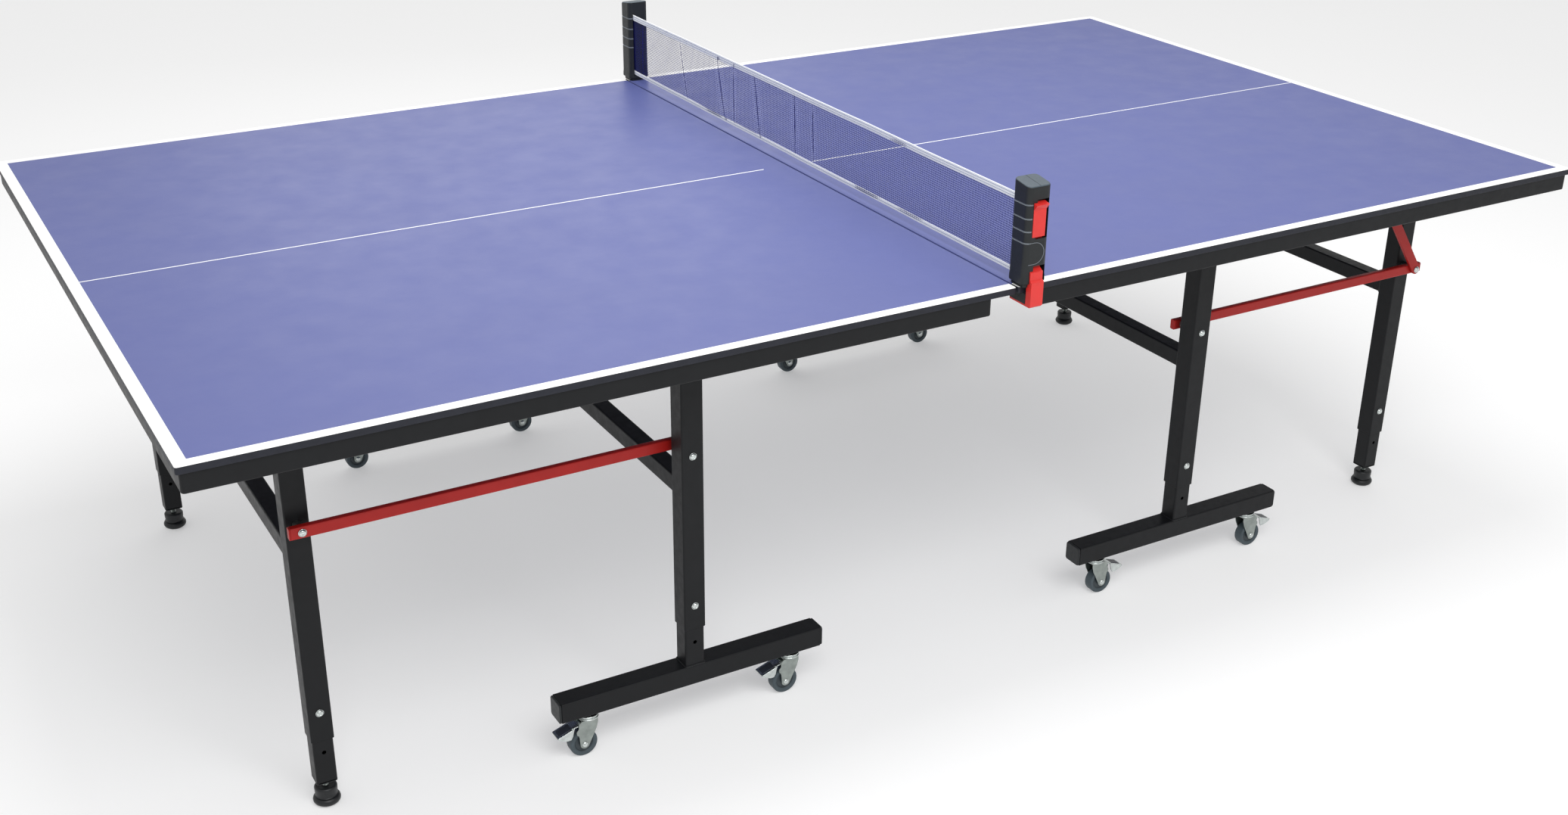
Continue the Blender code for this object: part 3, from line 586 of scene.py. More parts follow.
# ---- bolts and nuts
def bolt_head(place, direction):
    """A domed head with a ring and a dimple."""
    crown = [(0, 0.0011), (0.0016, 0.0011), (0.0021, 0.0003), (0.0027, 0.0001), (0.0038, 0.0004)]
    crown += [(0.0050, 0.0012), (0.0058, 0.0023), (0.0061, 0.0031), (HEAD_RADIUS - 0.0002, 0.0033)]
    crown += [(HEAD_RADIUS, 0.0036)]
    profile = [(radius, HEAD_HEIGHT - drop) for radius, drop in crown]
    profile += [(HEAD_RADIUS, 0.0001), (HEAD_RADIUS - 0.0003, -0.0003), (0, -0.0003)]
    return lathe(profile, HIGHLIGHT_ZINC, pointing(place, direction))


def hex_nut(place, direction):
    """A nut with chamfered corners, and the end of its bolt standing out of it."""
    height = HEAD_HEIGHT - 0.0008
    profile = [(0, height), (HEAD_RADIUS * 0.84, height), (HEAD_RADIUS, height - 0.0009)]
    profile += [(HEAD_RADIUS, -0.0003), (0, -0.0003)]
    nut = lathe(profile, ZINC, pointing(place, direction), steps=6)
    end = [(0, HEAD_HEIGHT), (PIN_RADIUS - 0.0006, HEAD_HEIGHT), (PIN_RADIUS, HEAD_HEIGHT - 0.0006)]
    end += [(PIN_RADIUS, 0), (0, 0)]
    return [nut, lathe(end, ZINC, pointing(place, direction), steps=24)]


def rod(start, end, radius, finish):
    """A plain round pin between two points."""
    start, end = Vector(start), Vector(end)
    length = (end - start).length
    profile = [(0, length), (radius - 0.0002, length), (radius, length - 0.0002)]
    profile += [(radius, 0.0002), (radius - 0.0002, 0), (0, 0)]
    return lathe(profile, finish, pointing(start, end - start), steps=24)


def through_bolt(x, edge, head_y, nut_y, z):
    """A head that faces out at the table's edge, and a nut that faces in."""
    return [bolt_head((x, edge * head_y, z), (0, edge, 0)), *hex_nut((x, edge * nut_y, z), (0, -edge, 0))]


def cross_rod(x, edge, z, start_y, end_y, radius, finish=ZINC):
    return rod((x, edge * start_y, z), (x, edge * end_y, z), radius, finish)


# ---- legs
def leg_pair(x, leg_y, size, low_z, high_z, crossbar_z):
    """Two uprights with top plugs, and the crossbar welded between them."""
    parts = []
    face = leg_y - size / 2
    for edge in EDGES.values():
        centre = (x, edge * leg_y)
        parts.append(tube(2, (low_z, high_z), centre, (size, size), STEEL))
        plug = size - 2 * TUBE_WALL - 0.0004
        parts.append(bar(2, (high_z - 0.010, high_z - 0.0004), centre, (plug, plug), BLACK_PLASTIC))
        parts.append(weld(1, edge * (face - 0.0004), (x, crossbar_z), (CROSSBAR_SIZE + 0.001,) * 2))
    span = (-face - SUNK, face + SUNK)
    parts.append(tube(1, span, (x, crossbar_z), (CROSSBAR_SIZE,) * 2, STEEL, corner=0.0032))
    return parts


def make_t_frame(side):
    low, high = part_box(f"{side}_t_frame")
    x = joint_at(f"{side}_fold").x
    size = high.x - low.x
    outer = high.y - HEAD_HEIGHT
    leg_y = outer - size / 2
    parts = leg_pair(x, leg_y, size, low.z, high.z, T_CROSSBAR_Z)
    link_low, link_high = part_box(f"{side}_far_link_bar")
    bar_outer = link_high.y + CLEAR
    bar_inner = link_low.y - CLEAR
    inner = outer - size
    for edge in EDGES.values():
        parts += through_bolt(x, edge, outer, inner, T_HEIGHT_BOLT_Z)
        parts += through_bolt(x, edge, outer, bar_inner, LINK_Z)
        parts.append(cross_rod(x, edge, LINK_Z, bar_outer, inner + SUNK, SPACER_RADIUS))
        parts.append(cross_rod(x, edge, LINK_Z, bar_inner, bar_outer, PIN_RADIUS))
    piece(f"{side}_t_legs", parts, f"{side}_stand", [f"{side}_t_frame"])


def make_end_leg_frame(side, s):
    low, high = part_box(f"{side}_end_leg_frame")
    x = joint_at(f"{side}_end_legs_turn").x
    size = high.x - low.x
    leg_y = abs(joint_at(f"{side}_near_foot_spin").y)
    outer = leg_y + size / 2
    parts = leg_pair(x, leg_y, size, low.z, high.z, END_CROSSBAR_Z)
    link_low, link_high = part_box(f"{side}_far_link_bar")
    stay_low, stay_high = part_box(f"{side}_stay")
    stay_outer = max(abs(stay_low.y), abs(stay_high.y))
    bar_inner = link_low.y - CLEAR
    for edge in EDGES.values():
        head = (stay_outer if edge == -s else link_high.y) + CLEAR
        parts += through_bolt(x, edge, head, outer - size, LINK_Z)
        parts += through_bolt(x, edge, outer, outer - size, END_HEIGHT_BOLT_Z)
        parts.append(cross_rod(x, edge, LINK_Z, bar_inner, head, PIN_RADIUS))
        parts.append(cross_rod(x, edge, LINK_Z, outer - SUNK, bar_inner, SPACER_RADIUS))
    piece(f"{side}_end_legs_frame", parts, f"{side}_end_legs", [f"{side}_end_leg_frame"])


def inner_tube(centre, size, span, hole_z):
    """A telescoping tube with a spare height hole through two of its walls."""
    outside = tube(2, span, centre, (size, size), STEEL, corner=0.0036)
    drill = cross_rod(centre[0], 1, hole_z, centre[1] - size, centre[1] + size, SPARE_HOLE_RADIUS, STEEL)
    return carve(outside, drill)


def make_t_base(side, edge_name):
    name = f"{side}_{edge_name}_t_base"
    low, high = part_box(name)
    x, y = between(low, high)[:2]
    width = high.y - low.y
    size = (width, BASE_TOP - BASE_LOW)
    centre = (y, (BASE_TOP + BASE_LOW) / 2)
    parts = [tube(0, (low.x + END_PLUG, high.x - END_PLUG), centre, size, STEEL)]
    for cap in ((low.x, low.x + END_PLUG), (high.x - END_PLUG, high.x)):
        parts.append(bar(0, cap, centre, size, BLACK_PLASTIC, corner=0.0055, ease=0.0022))
    leg_low, leg_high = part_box(f"{side}_t_frame")
    inner = leg_high.x - leg_low.x - 2 * TUBE_WALL - 2 * CLEAR
    parts.append(inner_tube((x, y), inner, (BASE_TOP - 0.0006, high.z), T_SPARE_HOLE_Z))
    parts.append(weld(2, BASE_TOP + 0.0002, (x, y), (inner + 0.0006,) * 2))
    piece(f"{side}_{edge_name}_base_bar", parts, f"{side}_stand", [name])


def make_end_leg_tube(side, edge_name):
    name = f"{side}_{edge_name}_end_leg_tube"
    low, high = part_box(name)
    centre = between(low, high)[:2]
    size = high.x - low.x
    parts = [inner_tube(centre, size, (low.z + 0.0012, high.z), END_SPARE_HOLE_Z)]
    parts.append(bar(2, (low.z, low.z + 0.0045), centre, (size, size), BLACK_PLASTIC, corner=0.0036))
    piece(f"{side}_{edge_name}_inner_leg", parts, f"{side}_end_legs", [name])


def make_foot(side, edge_name):
    """The levelling foot: a broad bun of a sole, a grip above it and a threaded stem."""
    name = f"{side}_{edge_name}_levelling_foot"
    low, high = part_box(name)
    x, y = between(low, high)[:2]
    sole = (high.x - low.x) / 2
    grip = sole * 0.83
    profile = [(0, 0.0335), (grip * 0.50, 0.0335)]
    profile += arc((grip - 0.0040, 0.0300), 0.0040, 88, 0, 6)
    profile += [(grip - 0.0002, 0.0240), (grip - 0.0008, 0.0200)]
    profile += arc((grip + 0.0012, 0.0176), 0.0018, 170, 245, 3)
    profile += arc((sole - 0.0068, 0.0078), 0.0068, 78, -50, 12)
    profile += [(sole - 0.0058, 0.0), (0, 0.0)]
    body = lathe(profile, FOOT_RUBBER, Matrix.Translation((x, y, 0)), steps=48)
    thread = [(0, high.z)]
    pitch = 0.0013
    z = high.z - 0.0002
    while z > 0.034:
        thread += [(0.0045, z), (0.0050, z - pitch / 2)]
        z -= pitch
    thread += [(0.0045, 0.0325), (0, 0.0325)]
    stem = lathe(thread, ZINC, Matrix.Translation((x, y, 0)), steps=24)
    piece(f"{side}_{edge_name}_foot_knob", [body, stem], f"{side}_{edge_name}_foot", [name])


# ---- the folding linkage
def make_link_bar(side, edge_name):
    name = f"{side}_{edge_name}_link_bar"
    low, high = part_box(name)
    centre = between(low, high)[1:]
    size = (high.y - low.y, high.z - low.z)
    cap = 0.0022
    parts = [tube(0, (low.x + cap, high.x - cap), centre, size, RED_STEEL, corner=0.0026, wall=0.0012)]
    for span in ((low.x, low.x + cap), (high.x - cap, high.x)):
        parts.append(bar(0, span, centre, size, RED_STEEL, corner=0.0028, ease=0.0010))
    piece(f"{side}_{edge_name}_red_bar", parts, f"{side}_{edge_name}_link", [name])


def make_stay(side, s):
    """The flat stay, with round ends and a hole in each."""
    low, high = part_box(f"{side}_stay")
    pivot = joint_at(f"{side}_stay_turn")
    half = abs(high.x - pivot.x) if s > 0 else abs(low.x - pivot.x)
    tip = Vector((low.x + half if s > 0 else high.x - half, pivot.y, high.z - half))
    run = Vector((tip.x - pivot.x, tip.z - pivot.z))
    along = math.degrees(math.atan2(run.y, run.x))
    outline = arc((tip.x, tip.z), half, along - 90, along + 90, 14)
    outline += arc((pivot.x, pivot.z), half, along + 90, along + 270, 14)
    strip = prism(outline, 1, (low.y, high.y), RED_STEEL, ease=0.0008)
    through = (low.y - 0.004, high.y + 0.004)
    hole = cross_rod(pivot.x, 1, pivot.z, *through, PIN_RADIUS + 0.0004, RED_STEEL)
    tip_hole = cross_rod(tip.x, 1, tip.z, *through, PIN_RADIUS, RED_STEEL)
    shape = carve(strip, hole, tip_hole)
    piece(f"{side}_flat_stay", [shape], f"{side}_latch_stay", [f"{side}_stay"])


# ---- casters
def make_fork(name, body, s, x, y):
    stem_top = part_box(f"{name}_fork")[1].z
    top = BASE_LOW - CLEAR
    race = [(0, stem_top), (0.0042, stem_top), (0.0050, stem_top - 0.0008), (0.0050, top), (0.0118, top)]
    race += [(0.0124, top - 0.0006), (0.0127, top - 0.0024), (0.0170, top - 0.0029)]
    race += arc((0.0176, 0.0780), 0.0014, 80, -90, 6)
    race += [(0.0166, 0.0762), (0.0166, 0.0752)]
    race += arc((0.0176, 0.0732), 0.0013, 80, -60, 5)
    race += [(0.0150, CROWN_LOW), (0, CROWN_LOW)]
    parts = [lathe(race, HIGHLIGHT_ZINC, Matrix.Translation((x, y, 0)), steps=40)]
    balls = [(0, 0.0700), (0.0032, 0.0700), (0.0048, 0.0692), (0.0048, 0.0672), (0, 0.0672)]
    parts.append(lathe(balls, HIGHLIGHT_ZINC, Matrix.Translation((x, y, 0)), steps=6))
    axle_x = x + s * TRAIL
    outline = [(-0.0130, CROWN_LOW + 0.0006), (-0.0133, 0.0660), (-0.0130, 0.0630), (-0.0100, 0.0520)]
    outline += arc((TRAIL, AXLE_Z), 0.0085, 198, 345, 14)
    outline += [(0.0222, 0.0400), (0.0234, 0.0448), (0.0250, 0.0452), (0.0262, 0.0470)]
    outline += [(0.0266, 0.0500), (0.0262, 0.0532), (0.0240, 0.0560), (0.0226, 0.0580)]
    outline += [(0.0224, 0.0650), (0.0205, 0.0682), (0.0165, CROWN_LOW + 0.0006)]
    placed = [(x + s * out, z) for out, z in outline]
    outer = FORK_INNER + FORK_SHEET
    for edge in EDGES.values():
        span = sorted((y + edge * FORK_INNER, y + edge * outer))
        parts.append(prism(placed, 1, span, ZINC, ease=0.0005))
        head = [(0, 0.0034), (0.0018, 0.0033), (0.0034, 0.0027), (0.0047, 0.0017), (0.0054, 0.0004)]
        head += [(0.0055, -0.0003), (0, -0.0003)]
        place = (axle_x, y + edge * outer, AXLE_Z)
        parts.append(lathe(head, HIGHLIGHT_ZINC, pointing(place, (0, edge, 0)), steps=28))
    crown = sorted((x - s * 0.0125, x + s * 0.0160))
    plate_low = (crown[0], y - outer + 0.0004, CROWN_LOW - 0.0016)
    plate_high = (crown[1], y + outer - 0.0004, CROWN_LOW + 0.0006)
    parts.append(block(plate_low, plate_high, ZINC, ease=0.0005))
    parts.append(cross_rod(axle_x, 1, AXLE_Z, y - outer, y + outer, 0.0030))
    piece(f"{name}_plated_fork", parts, f"{body}_fork", [f"{name}_fork"])


def make_wheel(name, body):
    low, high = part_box(f"{name}_wheel")
    middle = (low + high) / 2
    radius = (high.z - low.z) / 2
    half = (high.y - low.y) / 2
    hub = 0.0165
    tyre = [(hub, half - 0.0022), (hub + 0.0016, half - 0.0008), (radius - 0.0042, half)]
    tyre += arc((radius - 0.0030, half - 0.0030), 0.0030, 80, 8, 5)
    tyre += [(radius, 0)]
    tyre += [(r, -h) for r, h in reversed(tyre[:-1])]
    disc = [(0.0036, half - 0.0004), (0.0062, half - 0.0004), (0.0070, half - 0.0010)]
    disc += [(0.0074, half - 0.0030), (hub - 0.0012, half - 0.0036), (hub - 0.0002, half - 0.0026)]
    disc += [(hub + 0.0004, half - 0.0026)]
    disc += [(r, -h) for r, h in reversed(disc)]
    matrix = pointing(middle, (0, 1, 0))
    parts = [ring_lathe(tyre, TYRE, matrix, 56), ring_lathe(disc, HUB, matrix, 40)]
    piece(f"{name}_tyred_wheel", parts, f"{body}_wheel", [f"{name}_wheel"])


def make_pedal(name, body, s, x, y):
    """The brake pedal: an arm, a channel to step on with a dark pad in it, a shoe, and its pin."""
    def flat(points):
        return [(x + s * out, z) for out, z in points]

    def strip(start, end, width, finish, thick=TREAD_SHEET, lift=0.0, ease=0.0005):
        points = [(start[0], start[1] + lift), (end[0], end[1] + lift)]
        points += [(end[0], end[1] + lift - thick), (start[0], start[1] + lift - thick)]
        return prism(flat(points), 1, (y - width / 2, y + width / 2), finish, ease=ease)

    start, end = (0.0300, 0.0618), (0.0604, 0.0512)
    # The arm takes the paler zinc: painted light over the shade that the base bar casts on it.
    parts = [strip((0.0110, 0.0650), (0.0345, 0.0611), 2 * FORK_INNER - 0.0010, HIGHLIGHT_ZINC)]
    parts.append(strip(start, end, TREAD_WIDTH, HIGHLIGHT_ZINC))
    slope = (end[1] - start[1]) / (end[0] - start[0])
    dark_sheet = [(out, start[1] + slope * (out - start[0])) for out in (0.0325, 0.0575)]
    parts.append(strip(*dark_sheet, TREAD_WIDTH - 0.0090, PAD, thick=0.0010, lift=0.0005, ease=0.0002))
    flange = [(0.0302, 0.0612), (0.0602, 0.0508), (0.0604, 0.0480), (0.0540, 0.0445), (0.0440, 0.0410)]
    flange += [(0.0370, 0.0410), (0.0335, 0.0470), (0.0320, 0.0540)]
    for edge in EDGES.values():
        face = y + edge * (TREAD_WIDTH / 2 - 0.0001)
        span = sorted((face, face - edge * TREAD_SHEET))
        parts.append(prism(flat(flange), 1, span, HIGHLIGHT_ZINC, ease=0.0004))
    lip = TREAD_WIDTH / 2 - 0.0006
    parts.append(cross_rod(x + s * 0.0604, 1, 0.0502, y - lip, y + lip, 0.0010))
    shoe = sorted((x + s * 0.0217, x + s * 0.0293))
    parts.append(block((shoe[0], y - 0.0078, 0.0502), (shoe[1], y + 0.0078, 0.0620), PAD, ease=0.0010))
    boss = sorted((x + s * 0.0148, x + s * 0.0212))
    parts.append(block((boss[0], y - 0.0098, 0.0582), (boss[1], y + 0.0098, 0.0636), ZINC, ease=0.0008))
    reach = FORK_INNER + FORK_SHEET - 0.0001
    parts.append(cross_rod(x + s * 0.018, 1, 0.060, y - reach, y + reach, 0.0020, HIGHLIGHT_ZINC))
    piece(f"{name}_brake_pedal", parts, f"{body}_pedal", [f"{name}_pedal"])


def make_caster(side, s, edge_name, place):
    name = f"{side}_{edge_name}_{place}_caster"
    body = f"{side}_{edge_name}_{place}"
    stem = joint_at(f"{body}_swivel")
    make_fork(name, body, s, stem.x, stem.y)
    make_wheel(name, body)
    make_pedal(name, body, s, stem.x, stem.y)


# ---- the net set
def casing_ring(low, high, edge, z_at, inset, groove=0.0):
    """A ring of the post's outline. In a groove it steps in on the left face and round to the window."""
    middle = (low + high) / 2
    size = (high.x - low.x, high.y - low.y)
    corner = max(POST_CORNER - inset, 0.002)
    outline = rounded_rectangle(size[0] - 2 * inset, size[1] - 2 * inset, corner, 8)
    ring = []
    for a, b in outline:
        grooved = a < -size[0] * 0.25 and edge * b > -size[1] * 0.42
        if grooved and groove:
            pull = 1 - groove / max(math.hypot(a, b), 0.001)
            a, b = a * pull, b * pull
        ring.append((middle.x + a, middle.y + b, z_at(middle.y + b)))
    return ring


def make_post(edge_name, edge):
    """The casing: a flared foot, wrapped grooves, a sloping cap with a seam, and the lever's windows."""
    name = f"{edge_name}_net_post"
    low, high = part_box(name)
    lever_low, lever_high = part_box(f"{edge_name}_clamp_lever")
    inner_y = min(abs(low.y), abs(high.y))
    outer_y = max(abs(low.y), abs(high.y))
    fall = 0.007

    def level(z):
        return lambda y: z

    def below_top(drop):
        return lambda y: high.z - fall * (abs(y) - inner_y) / (outer_y - inner_y) - drop

    taper = 0.0009
    foot = low.z + POST_PAD
    flare = [(low.z, 0.0042), (foot - 0.0008, 0.0040), (foot, 0.0012), (foot + 0.0010, 0)]
    flare += [(foot + 0.0090, 0.0001), (foot + 0.0140, taper * 0.8)]
    rings = [(level(z), inset, 0) for z, inset in flare]
    for z in sorted(GROOVE_HEIGHTS):
        for step, depth in ((-1.4, 0), (-0.8, 1), (0.8, 1), (1.4, 0)):
            rings.append((level(z + step * GROOVE_HALF), taper, depth * GROOVE_DEPTH))
    for inset, drop in ((0, 0.0030), (0.0004, 0.0016), (0.0012, 0.0006), (0.0026, 0.0)):
        rings.append((below_top(drop), taper + inset, 0))
    casing = closed(loft([casing_ring(low, high, edge, *ring) for ring in rings]), BLACK_PLASTIC)
    casing.normal_update()
    for face in casing.faces:
        centre = face.calc_center_median()
        # Faces that point up near the top take the lighter slate grey.
        if face.normal.z > 0.5 and centre.z > high.z - 0.012:
            face.material_index = SLATE_PLASTIC.index
        # Faces inside the grooves on the left part take the lighter grey, a painted highlight along the
        # grooves' lips.
        in_groove = any(abs(centre.z - z) < GROOVE_HALF * 1.2 for z in GROOVE_HEIGHTS)
        if in_groove and centre.x < low.x + (high.x - low.x) * 0.42:
            face.material_index = GROOVE_HIGHLIGHT.index
    room = (lever_low.x + PIN_OVERHANG - 0.0010, lever_high.x - PIN_OVERHANG + 0.0010)

    def window(x_span, near_y, far_y, bottom, top):
        y_span = sorted((edge * near_y, edge * far_y))
        return block((x_span[0], y_span[0], bottom), (x_span[1], y_span[1], top), BLACK_PLASTIC, ease=0)

    outside = outer_y + 0.010
    cuts = [window(room, 0.7540, 0.7710, 0.776, 0.912), window(room, 0.7600, outside, 0.844, 0.912)]
    cuts.append(window(room, 0.7640, outside, low.z - 0.010, 0.797))
    net_low, net_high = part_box("net")
    net_x = (net_low.x + net_high.x) / 2
    net_slot = (net_x - 0.0020, net_x + 0.0020)
    cuts.append(window(net_slot, inner_y - 0.003, inner_y + 0.012, net_low.z - 0.002, net_high.z + 0.002))
    middle_x = (low.x + high.x) / 2
    half = SEAM_WIDTH / 2
    seam = [(-half, -SEAM_DEPTH), (half, -SEAM_DEPTH), (half, 0.004), (-half, 0.004)]
    seam_rings = []
    for y in (inner_y - 0.004, outer_y + 0.004):
        z = below_top(0)(edge * y)
        seam_rings.append([(middle_x + a, edge * y, z + b) for a, b in seam])
    cuts.append(closed(loft(seam_rings), BLACK_PLASTIC))
    parts = [carve(casing, *cuts), clip_line(low.x, edge, outer_y - taper)]
    piece(f"{edge_name}_post_casing", parts, "right_top", [name], smooth=32)


def clip_line(left_x, edge, face_y):
    """The moulded line that runs on from the lowest groove, round between the windows and back."""
    top, bottom = GROOVE_HEIGHTS[-1], CLIP_LINE_LOW
    start_x = left_x + POST_CORNER * 0.8
    bend_x = left_x + 0.0200
    reach = 0.0190
    path = [(start_x, top), ((start_x + bend_x) / 2, top)]
    for a, b in arc((0, 0), 1, 90, -90, 16):
        path.append((bend_x + reach * a, (top + bottom + (top - bottom) * b) / 2))
    path += [((start_x + bend_x) / 2, bottom), (start_x, bottom)]
    line = [(x, edge * (face_y - 0.00010), z) for x, z in path]
    # The line takes the lighter grey of the grooves, a painted highlight.
    return strand(line, 0.00060, GROOVE_HIGHLIGHT, sides=8)


def make_lever(edge_name, edge):
    """The spring clamp: a tab to press, a stem, a jaw under the board painted black as shade from the
    board, and a pin across.
    """
    name = f"{edge_name}_clamp_lever"
    low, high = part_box(name)
    pivot = joint_at(f"{edge_name}_clamp_press")
    board_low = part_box("right_board")[0].z - 0.0006
    ring = [(0.7690, 0.9080), (0.7680, 0.8600), (0.7620, 0.8600), (0.7620, 0.7900), (0.7680, 0.7800)]
    ring += [(0.7680, 0.7335), (0.7450, 0.7335), (0.7450, board_low), (0.7250, board_low)]
    ring += [(0.7250, 0.7255), (0.7790, 0.7255), (0.7820, 0.7285), (0.7820, 0.7700)]
    ring += [(0.7775, 0.7730), (0.7775, 0.7870), (0.7740, 0.7885), (0.7675, 0.7930)]
    ring += [(0.7690, 0.8480), (0.7755, 0.8480), (0.7755, 0.8950), (0.7835, 0.9050)]
    outline = [(edge * y, z) for y, z in ring]
    half = (high.x - low.x) / 2 - PIN_OVERHANG
    lever = prism(outline, 0, (pivot.x - half, pivot.x + half), RED_PLASTIC, ease=0.0006)
    # Faces of the jaw under the board are painted black: painted shade from the board above.
    for face in lever.faces:
        centre = face.calc_center_median()
        if abs(centre.y) < JAW_SHADE_Y and JAW_SHADE_LOW < centre.z < JAW_SHADE_TOP:
            face.material_index = BLACK_PLASTIC.index
    reach = half + PIN_OVERHANG
    side = pivot.x - half
    # A thin black sheet on the side of the jaw under the board: painted shade from the board, not a part of
    # its own.
    cover = sorted((edge * 0.7254, edge * JAW_SHADE_Y))
    shade_low = (side - 0.0005, cover[0], 0.7290)
    shade_high = (side + 0.0010, cover[1], board_low - 0.0004)
    dark_sheet = block(shade_low, shade_high, BLACK_PLASTIC, ease=0.0003)
    pin = rod((pivot.x - reach, pivot.y, pivot.z), (pivot.x + reach, pivot.y, pivot.z), 0.0020, ZINC)
    parts = [lever, dark_sheet, pin]
    piece(f"{edge_name}_red_clamp", parts, f"{edge_name}_lever", [name], smooth=30)


PLEATS = (  # each fold's place along the net at its top and bottom, and its width
    (0.682, 0.689, 0.020),
    (0.500, 0.462, 0.010),
    (0.326, 0.288, 0.024),
    (0.252, 0.250, 0.014),
    (0.166, 0.138, 0.024),
    (0.002, -0.004, 0.022),
    (-0.066, -0.078, 0.014),
)


def net_point(y, z, low, high):
    """Where a point of the flat net hangs: each pleat folds it over itself, and it waves a little."""
    height = (z - low.z) / (high.z - low.z)
    pinned = min(1.0, (high.y - abs(y)) / 0.03)
    shift_x = 0.0007 * math.sin(9.0 * y + 1.3) * pinned + 0.0004 * math.sin(31.0 * y + 4.0 * height)
    shift_y = 0.0
    for top, bottom, width in PLEATS:
        place = bottom + (top - bottom) * height
        away = (y - place) / width
        if abs(away) < 1:
            window = math.cos(away * math.pi / 2) ** 2
            slack = 0.35 + 0.65 * math.sin(math.pi * min(max(height, 0.02), 0.98))
            shift_y -= 0.27 * width * slack * math.sin(away * math.pi) * window ** 0.5
            shift_x += 0.0026 * slack * math.sin(away * math.pi * 1.5) * window
    droop = 0.0008 * math.sin(5.0 * y) * (1 - height)
    return Vector(((low.x + high.x) / 2 + shift_x * 0.9, y + shift_y, z + droop))


def thread(points, across, low, high):
    """One yarn of the net: a flat diamond section that follows its points."""
    wide = Vector(across) * THREAD_WIDTH / 2
    thick = Vector((THREAD_THICK / 2, 0, 0))
    middles = [net_point(y, z, low, high) for y, z in points]
    return [[at - wide, at + thick, at + wide, at - thick] for at in middles]


def make_net():
    """The net of knitted yarns, hung between two woven tapes."""
    low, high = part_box("net")
    mesh_low = low.z + BOTTOM_TAPE * 0.5
    mesh_high = high.z - TOP_TAPE * 0.5
    columns = round((high.y - low.y) / NET_PITCH)
    rows = round((mesh_high - mesh_low) / NET_PITCH)
    ys = [low.y + (high.y - low.y) * i / columns for i in range(columns + 1)]
    zs = [mesh_low + (mesh_high - mesh_low) * i / rows for i in range(rows + 1)]
    verts = []
    faces = []
    yarns = [([(y, z) for y in ys], (0, 0, 1)) for z in zs]
    yarns += [([(y, z) for z in zs], (0, 1, 0)) for y in ys]
    for points, across in yarns:
        rings = thread(points, across, low, high)
        start = len(verts)
        verts += [corner for ring in rings for corner in ring]
        for i in range(len(rings) - 1):
            for k in range(4):
                first = start + 4 * i + k
                second = start + 4 * i + (k + 1) % 4
                faces.append((first, second, second + 4, first + 4))
        last = start + 4 * (len(rings) - 1)
        faces += [(start, start + 3, start + 2, start + 1), (last, last + 1, last + 2, last + 3)]
    mesh = bpy.data.meshes.new("net_mesh")
    mesh.from_pydata(verts, [], faces)
    mesh.materials.append(THREAD.material)
    mesh.shade_smooth()
    net = bpy.data.objects.new("net_mesh", mesh)
    LOOKS.objects.link(net)
    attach(net, "right_top")
    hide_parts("net")
    tapes = [make_tape("net_top_tape", low, high, high.z - TOP_TAPE, high.z, (0.30, 0.66), 0.0011)]
    tapes.append(make_tape("net_bottom_tape", low, high, low.z, low.z + BOTTOM_TAPE, (0.5,), 0.0008))


def make_tape(name, low, high, bottom, top, stitches, half_thick):
    """A woven tape folded over the net's edge, with lines of stitching along it."""
    count = 240
    middle_x = (low.x + high.x) / 2

    def wave(y):
        return 0.00035 * math.sin(11.0 * y + bottom * 40) + 0.00018 * math.sin(43.0 * y)

    def rise(y):
        return 0.00025 * math.sin(17.0 * y)

    height = top - bottom
    outline = rounded_rectangle(2 * half_thick, height, half_thick * 0.92, 3)
    rings = []
    for i in range(count + 1):
        y = low.y + (high.y - low.y) * i / count
        centre_z = (bottom + top) / 2 + rise(y)
        rings.append([(middle_x + wave(y) + a, y, centre_z + b) for a, b in outline])
    parts = [closed(loft(rings), TAPE)]
    for share in stitches:
        for face in (-1, 1):
            path = []
            for i in range(count * 2 + 1):
                y = low.y + (high.y - low.y) * i / (count * 2)
                lift = face * (half_thick + (0.00010 if i % 2 else -0.00022))
                z = bottom + height * (1 - share) + rise(y)
                path.append((middle_x + wave(y) + lift, y, z))
            parts.append(strand(path, 0.00042, STITCH, sides=6))
    return piece(name, parts, "right_top")


def make_roller():
    """The spindle in the near post with the spare net wound on it."""
    low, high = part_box("net_roller")
    middle = (low + high) / 2
    radius = (high.x - low.x) / 2
    turns, steps = 4.0, 40
    layer = 0.0007
    count = int(turns * steps)
    inner = radius - 0.0003 - turns * layer
    bm = bmesh.new()
    span = (low.z + 0.0010, high.z - 0.0010)
    rows = []
    for sunk in (0, layer * 0.55):
        radii = [inner + layer * i / steps - sunk for i in range(count + 1)]
        outline = [polar(r, 2 * math.pi * i / steps, middle) for i, r in enumerate(radii)]
        rows.append([[bm.verts.new((a, b, z)) for a, b in outline] for z in span])
    for i in range(count):
        for bottom, top in rows:
            bm.faces.new((bottom[i], bottom[i + 1], top[i + 1], top[i]))
        for level in (0, 1):
            first, second = rows[0][level], rows[1][level]
            bm.faces.new((first[i], first[i + 1], second[i + 1], second[i]))
    for i in (0, count):
        bm.faces.new((rows[0][0][i], rows[0][1][i], rows[1][1][i], rows[1][0][i]))
    roll = closed(bm, ROLL_CLOTH)
    ends = [(middle.x, middle.y, z) for z in (low.z, high.z)]
    spindle = rod(*ends, inner - layer * 0.8, BLACK_PLASTIC)
    piece("net_spindle", [roll, spindle], "net_reel", ["net_roller"])


# ---- the whole table
def finish_rails():
    """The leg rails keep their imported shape, with the powder coat."""
    for side in SIDES:
        for edge_name in EDGES:
            rail = frame["nodes"][f"{side}_{edge_name}_leg_rail"]
            rail.data.materials.clear()
            rail.data.materials.append(STEEL.material)


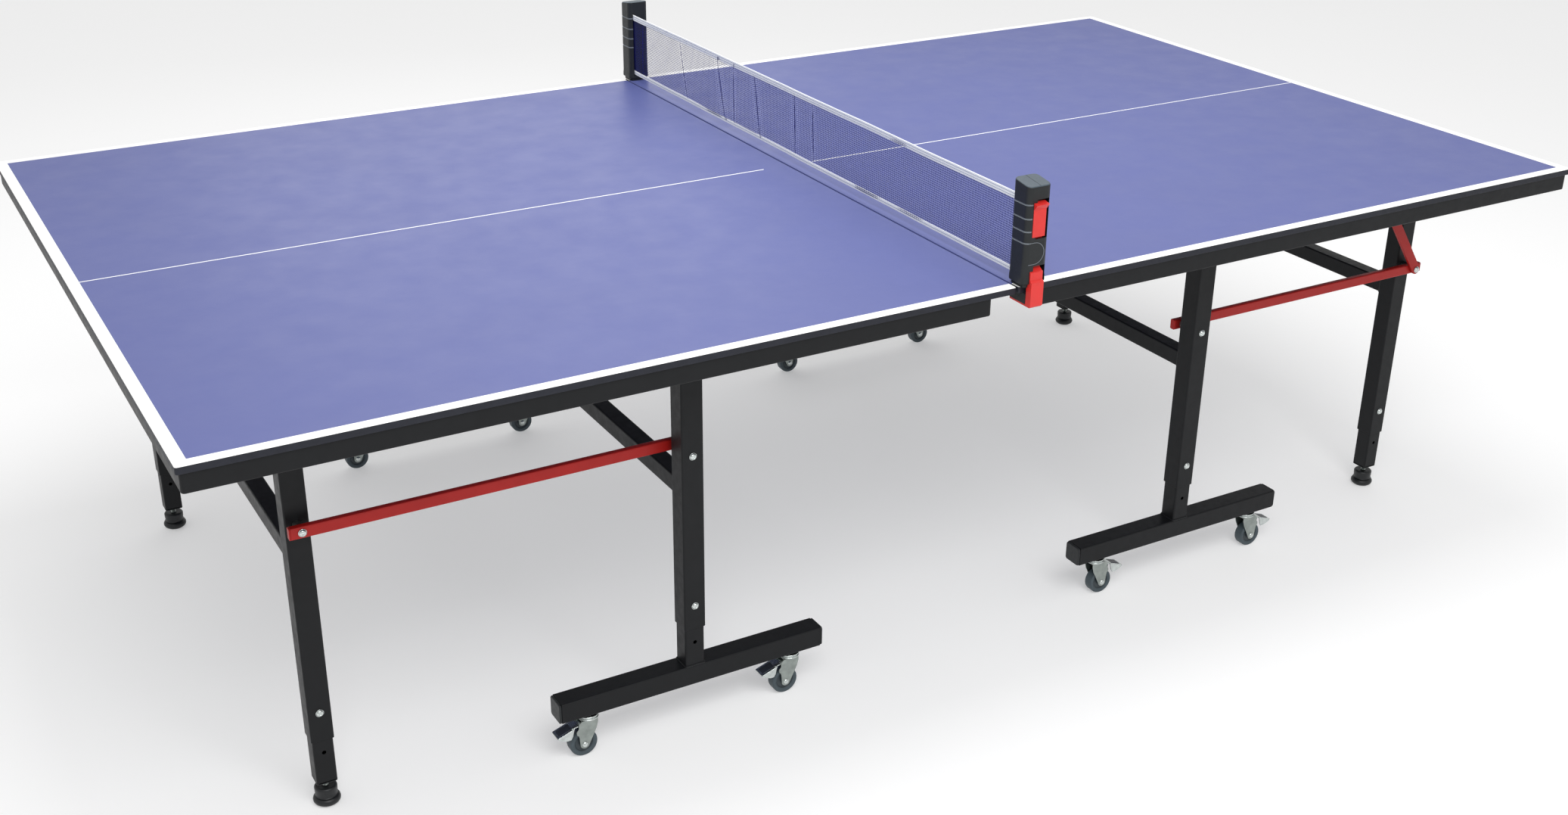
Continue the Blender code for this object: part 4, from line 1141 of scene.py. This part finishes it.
for side_name, side_sign in SIDES.items():
    make_board(side_name, side_sign)
    make_apron(side_name)
    make_t_frame(side_name)
    make_end_leg_frame(side_name, side_sign)
    make_stay(side_name, side_sign)
    for edge_key in EDGES:
        make_t_base(side_name, edge_key)
        make_end_leg_tube(side_name, edge_key)
        make_foot(side_name, edge_key)
        make_link_bar(side_name, edge_key)
        for place_name in ("inner", "outer"):
            make_caster(side_name, side_sign, edge_key, place_name)
for edge_key, edge_sign in EDGES.items():
    make_post(edge_key, edge_sign)
    make_lever(edge_key, edge_sign)
make_net()
make_roller()
finish_rails()


# ---- floor, light and camera
def make_floor():
    bm = bmesh.new()
    bmesh.ops.create_grid(bm, x_segments=1, y_segments=1, size=30)
    mesh = mesh_of(bm, "floor")
    glow = {"Emission_Color": (1.0, 1.0, 1.0, 1.0), "Emission_Strength": FLOOR_GLOW}
    paper = mottled("pale_studio_floor", "d6d6d6", 0.004, 0.8, (0.80, 0.90), 60, 0.00002, **glow)
    mesh.materials.append(paper.material)
    floor = stand("floor", mesh)


def area_light(name, place, target, size, power):
    lamp = bpy.data.lights.new(name, "AREA")
    lamp.shape = "RECTANGLE"
    lamp.size, lamp.size_y = size
    lamp.energy = power
    obj = stand(name, lamp)
    obj.location = place
    obj.rotation_euler = (Vector(target) - Vector(place)).to_track_quat("-Z", "Y").to_euler()


def make_world(strength):
    world = bpy.data.worlds.new("studio")
    world.use_nodes = True
    background = world.node_tree.nodes["Background"]
    background.inputs["Color"].default_value = (1.0, 1.0, 1.0, 1.0)
    background.inputs["Strength"].default_value = strength
    bpy.context.scene.world = world


def make_camera():
    """A camera from the left of the near side, tilted down on the table."""
    place = Vector((-1.735, -2.993, 1.840))
    turn, tilt, roll = (math.radians(angle) for angle in (30.03, 24.97, 0.51))
    forward = Vector((math.sin(turn) * math.cos(tilt), math.cos(turn) * math.cos(tilt), -math.sin(tilt)))
    right = forward.cross(Vector((0, 0, 1))).normalized()
    up = right.cross(forward)
    right_rolled = math.cos(roll) * right + math.sin(roll) * up
    up_rolled = -math.sin(roll) * right + math.cos(roll) * up
    lens = bpy.data.cameras.new("camera")
    lens.sensor_width = 36.0
    lens.lens = 41.47
    camera = stand("camera", lens)
    axes = Matrix((right_rolled, up_rolled, -forward)).transposed()
    camera.matrix_world = Matrix.Translation(place) @ axes.to_4x4()
    bpy.context.scene.camera = camera


make_floor()
make_world(0.66)
area_light("key", (-0.9, -3.0, 3.3), (-0.2, 0, 0.6), (2.6, 1.8), 76)
area_light("top", (0.2, 0.1, 2.7), (0.2, 0.1, 0.7), (2.4, 1.6), 40)
area_light("sheen", (0.7, 3.4, 2.1), (-0.4, 0.0, 0.76), (2.2, 1.0), 7)
make_camera()
bpy.context.scene.view_settings.view_transform = "Standard"
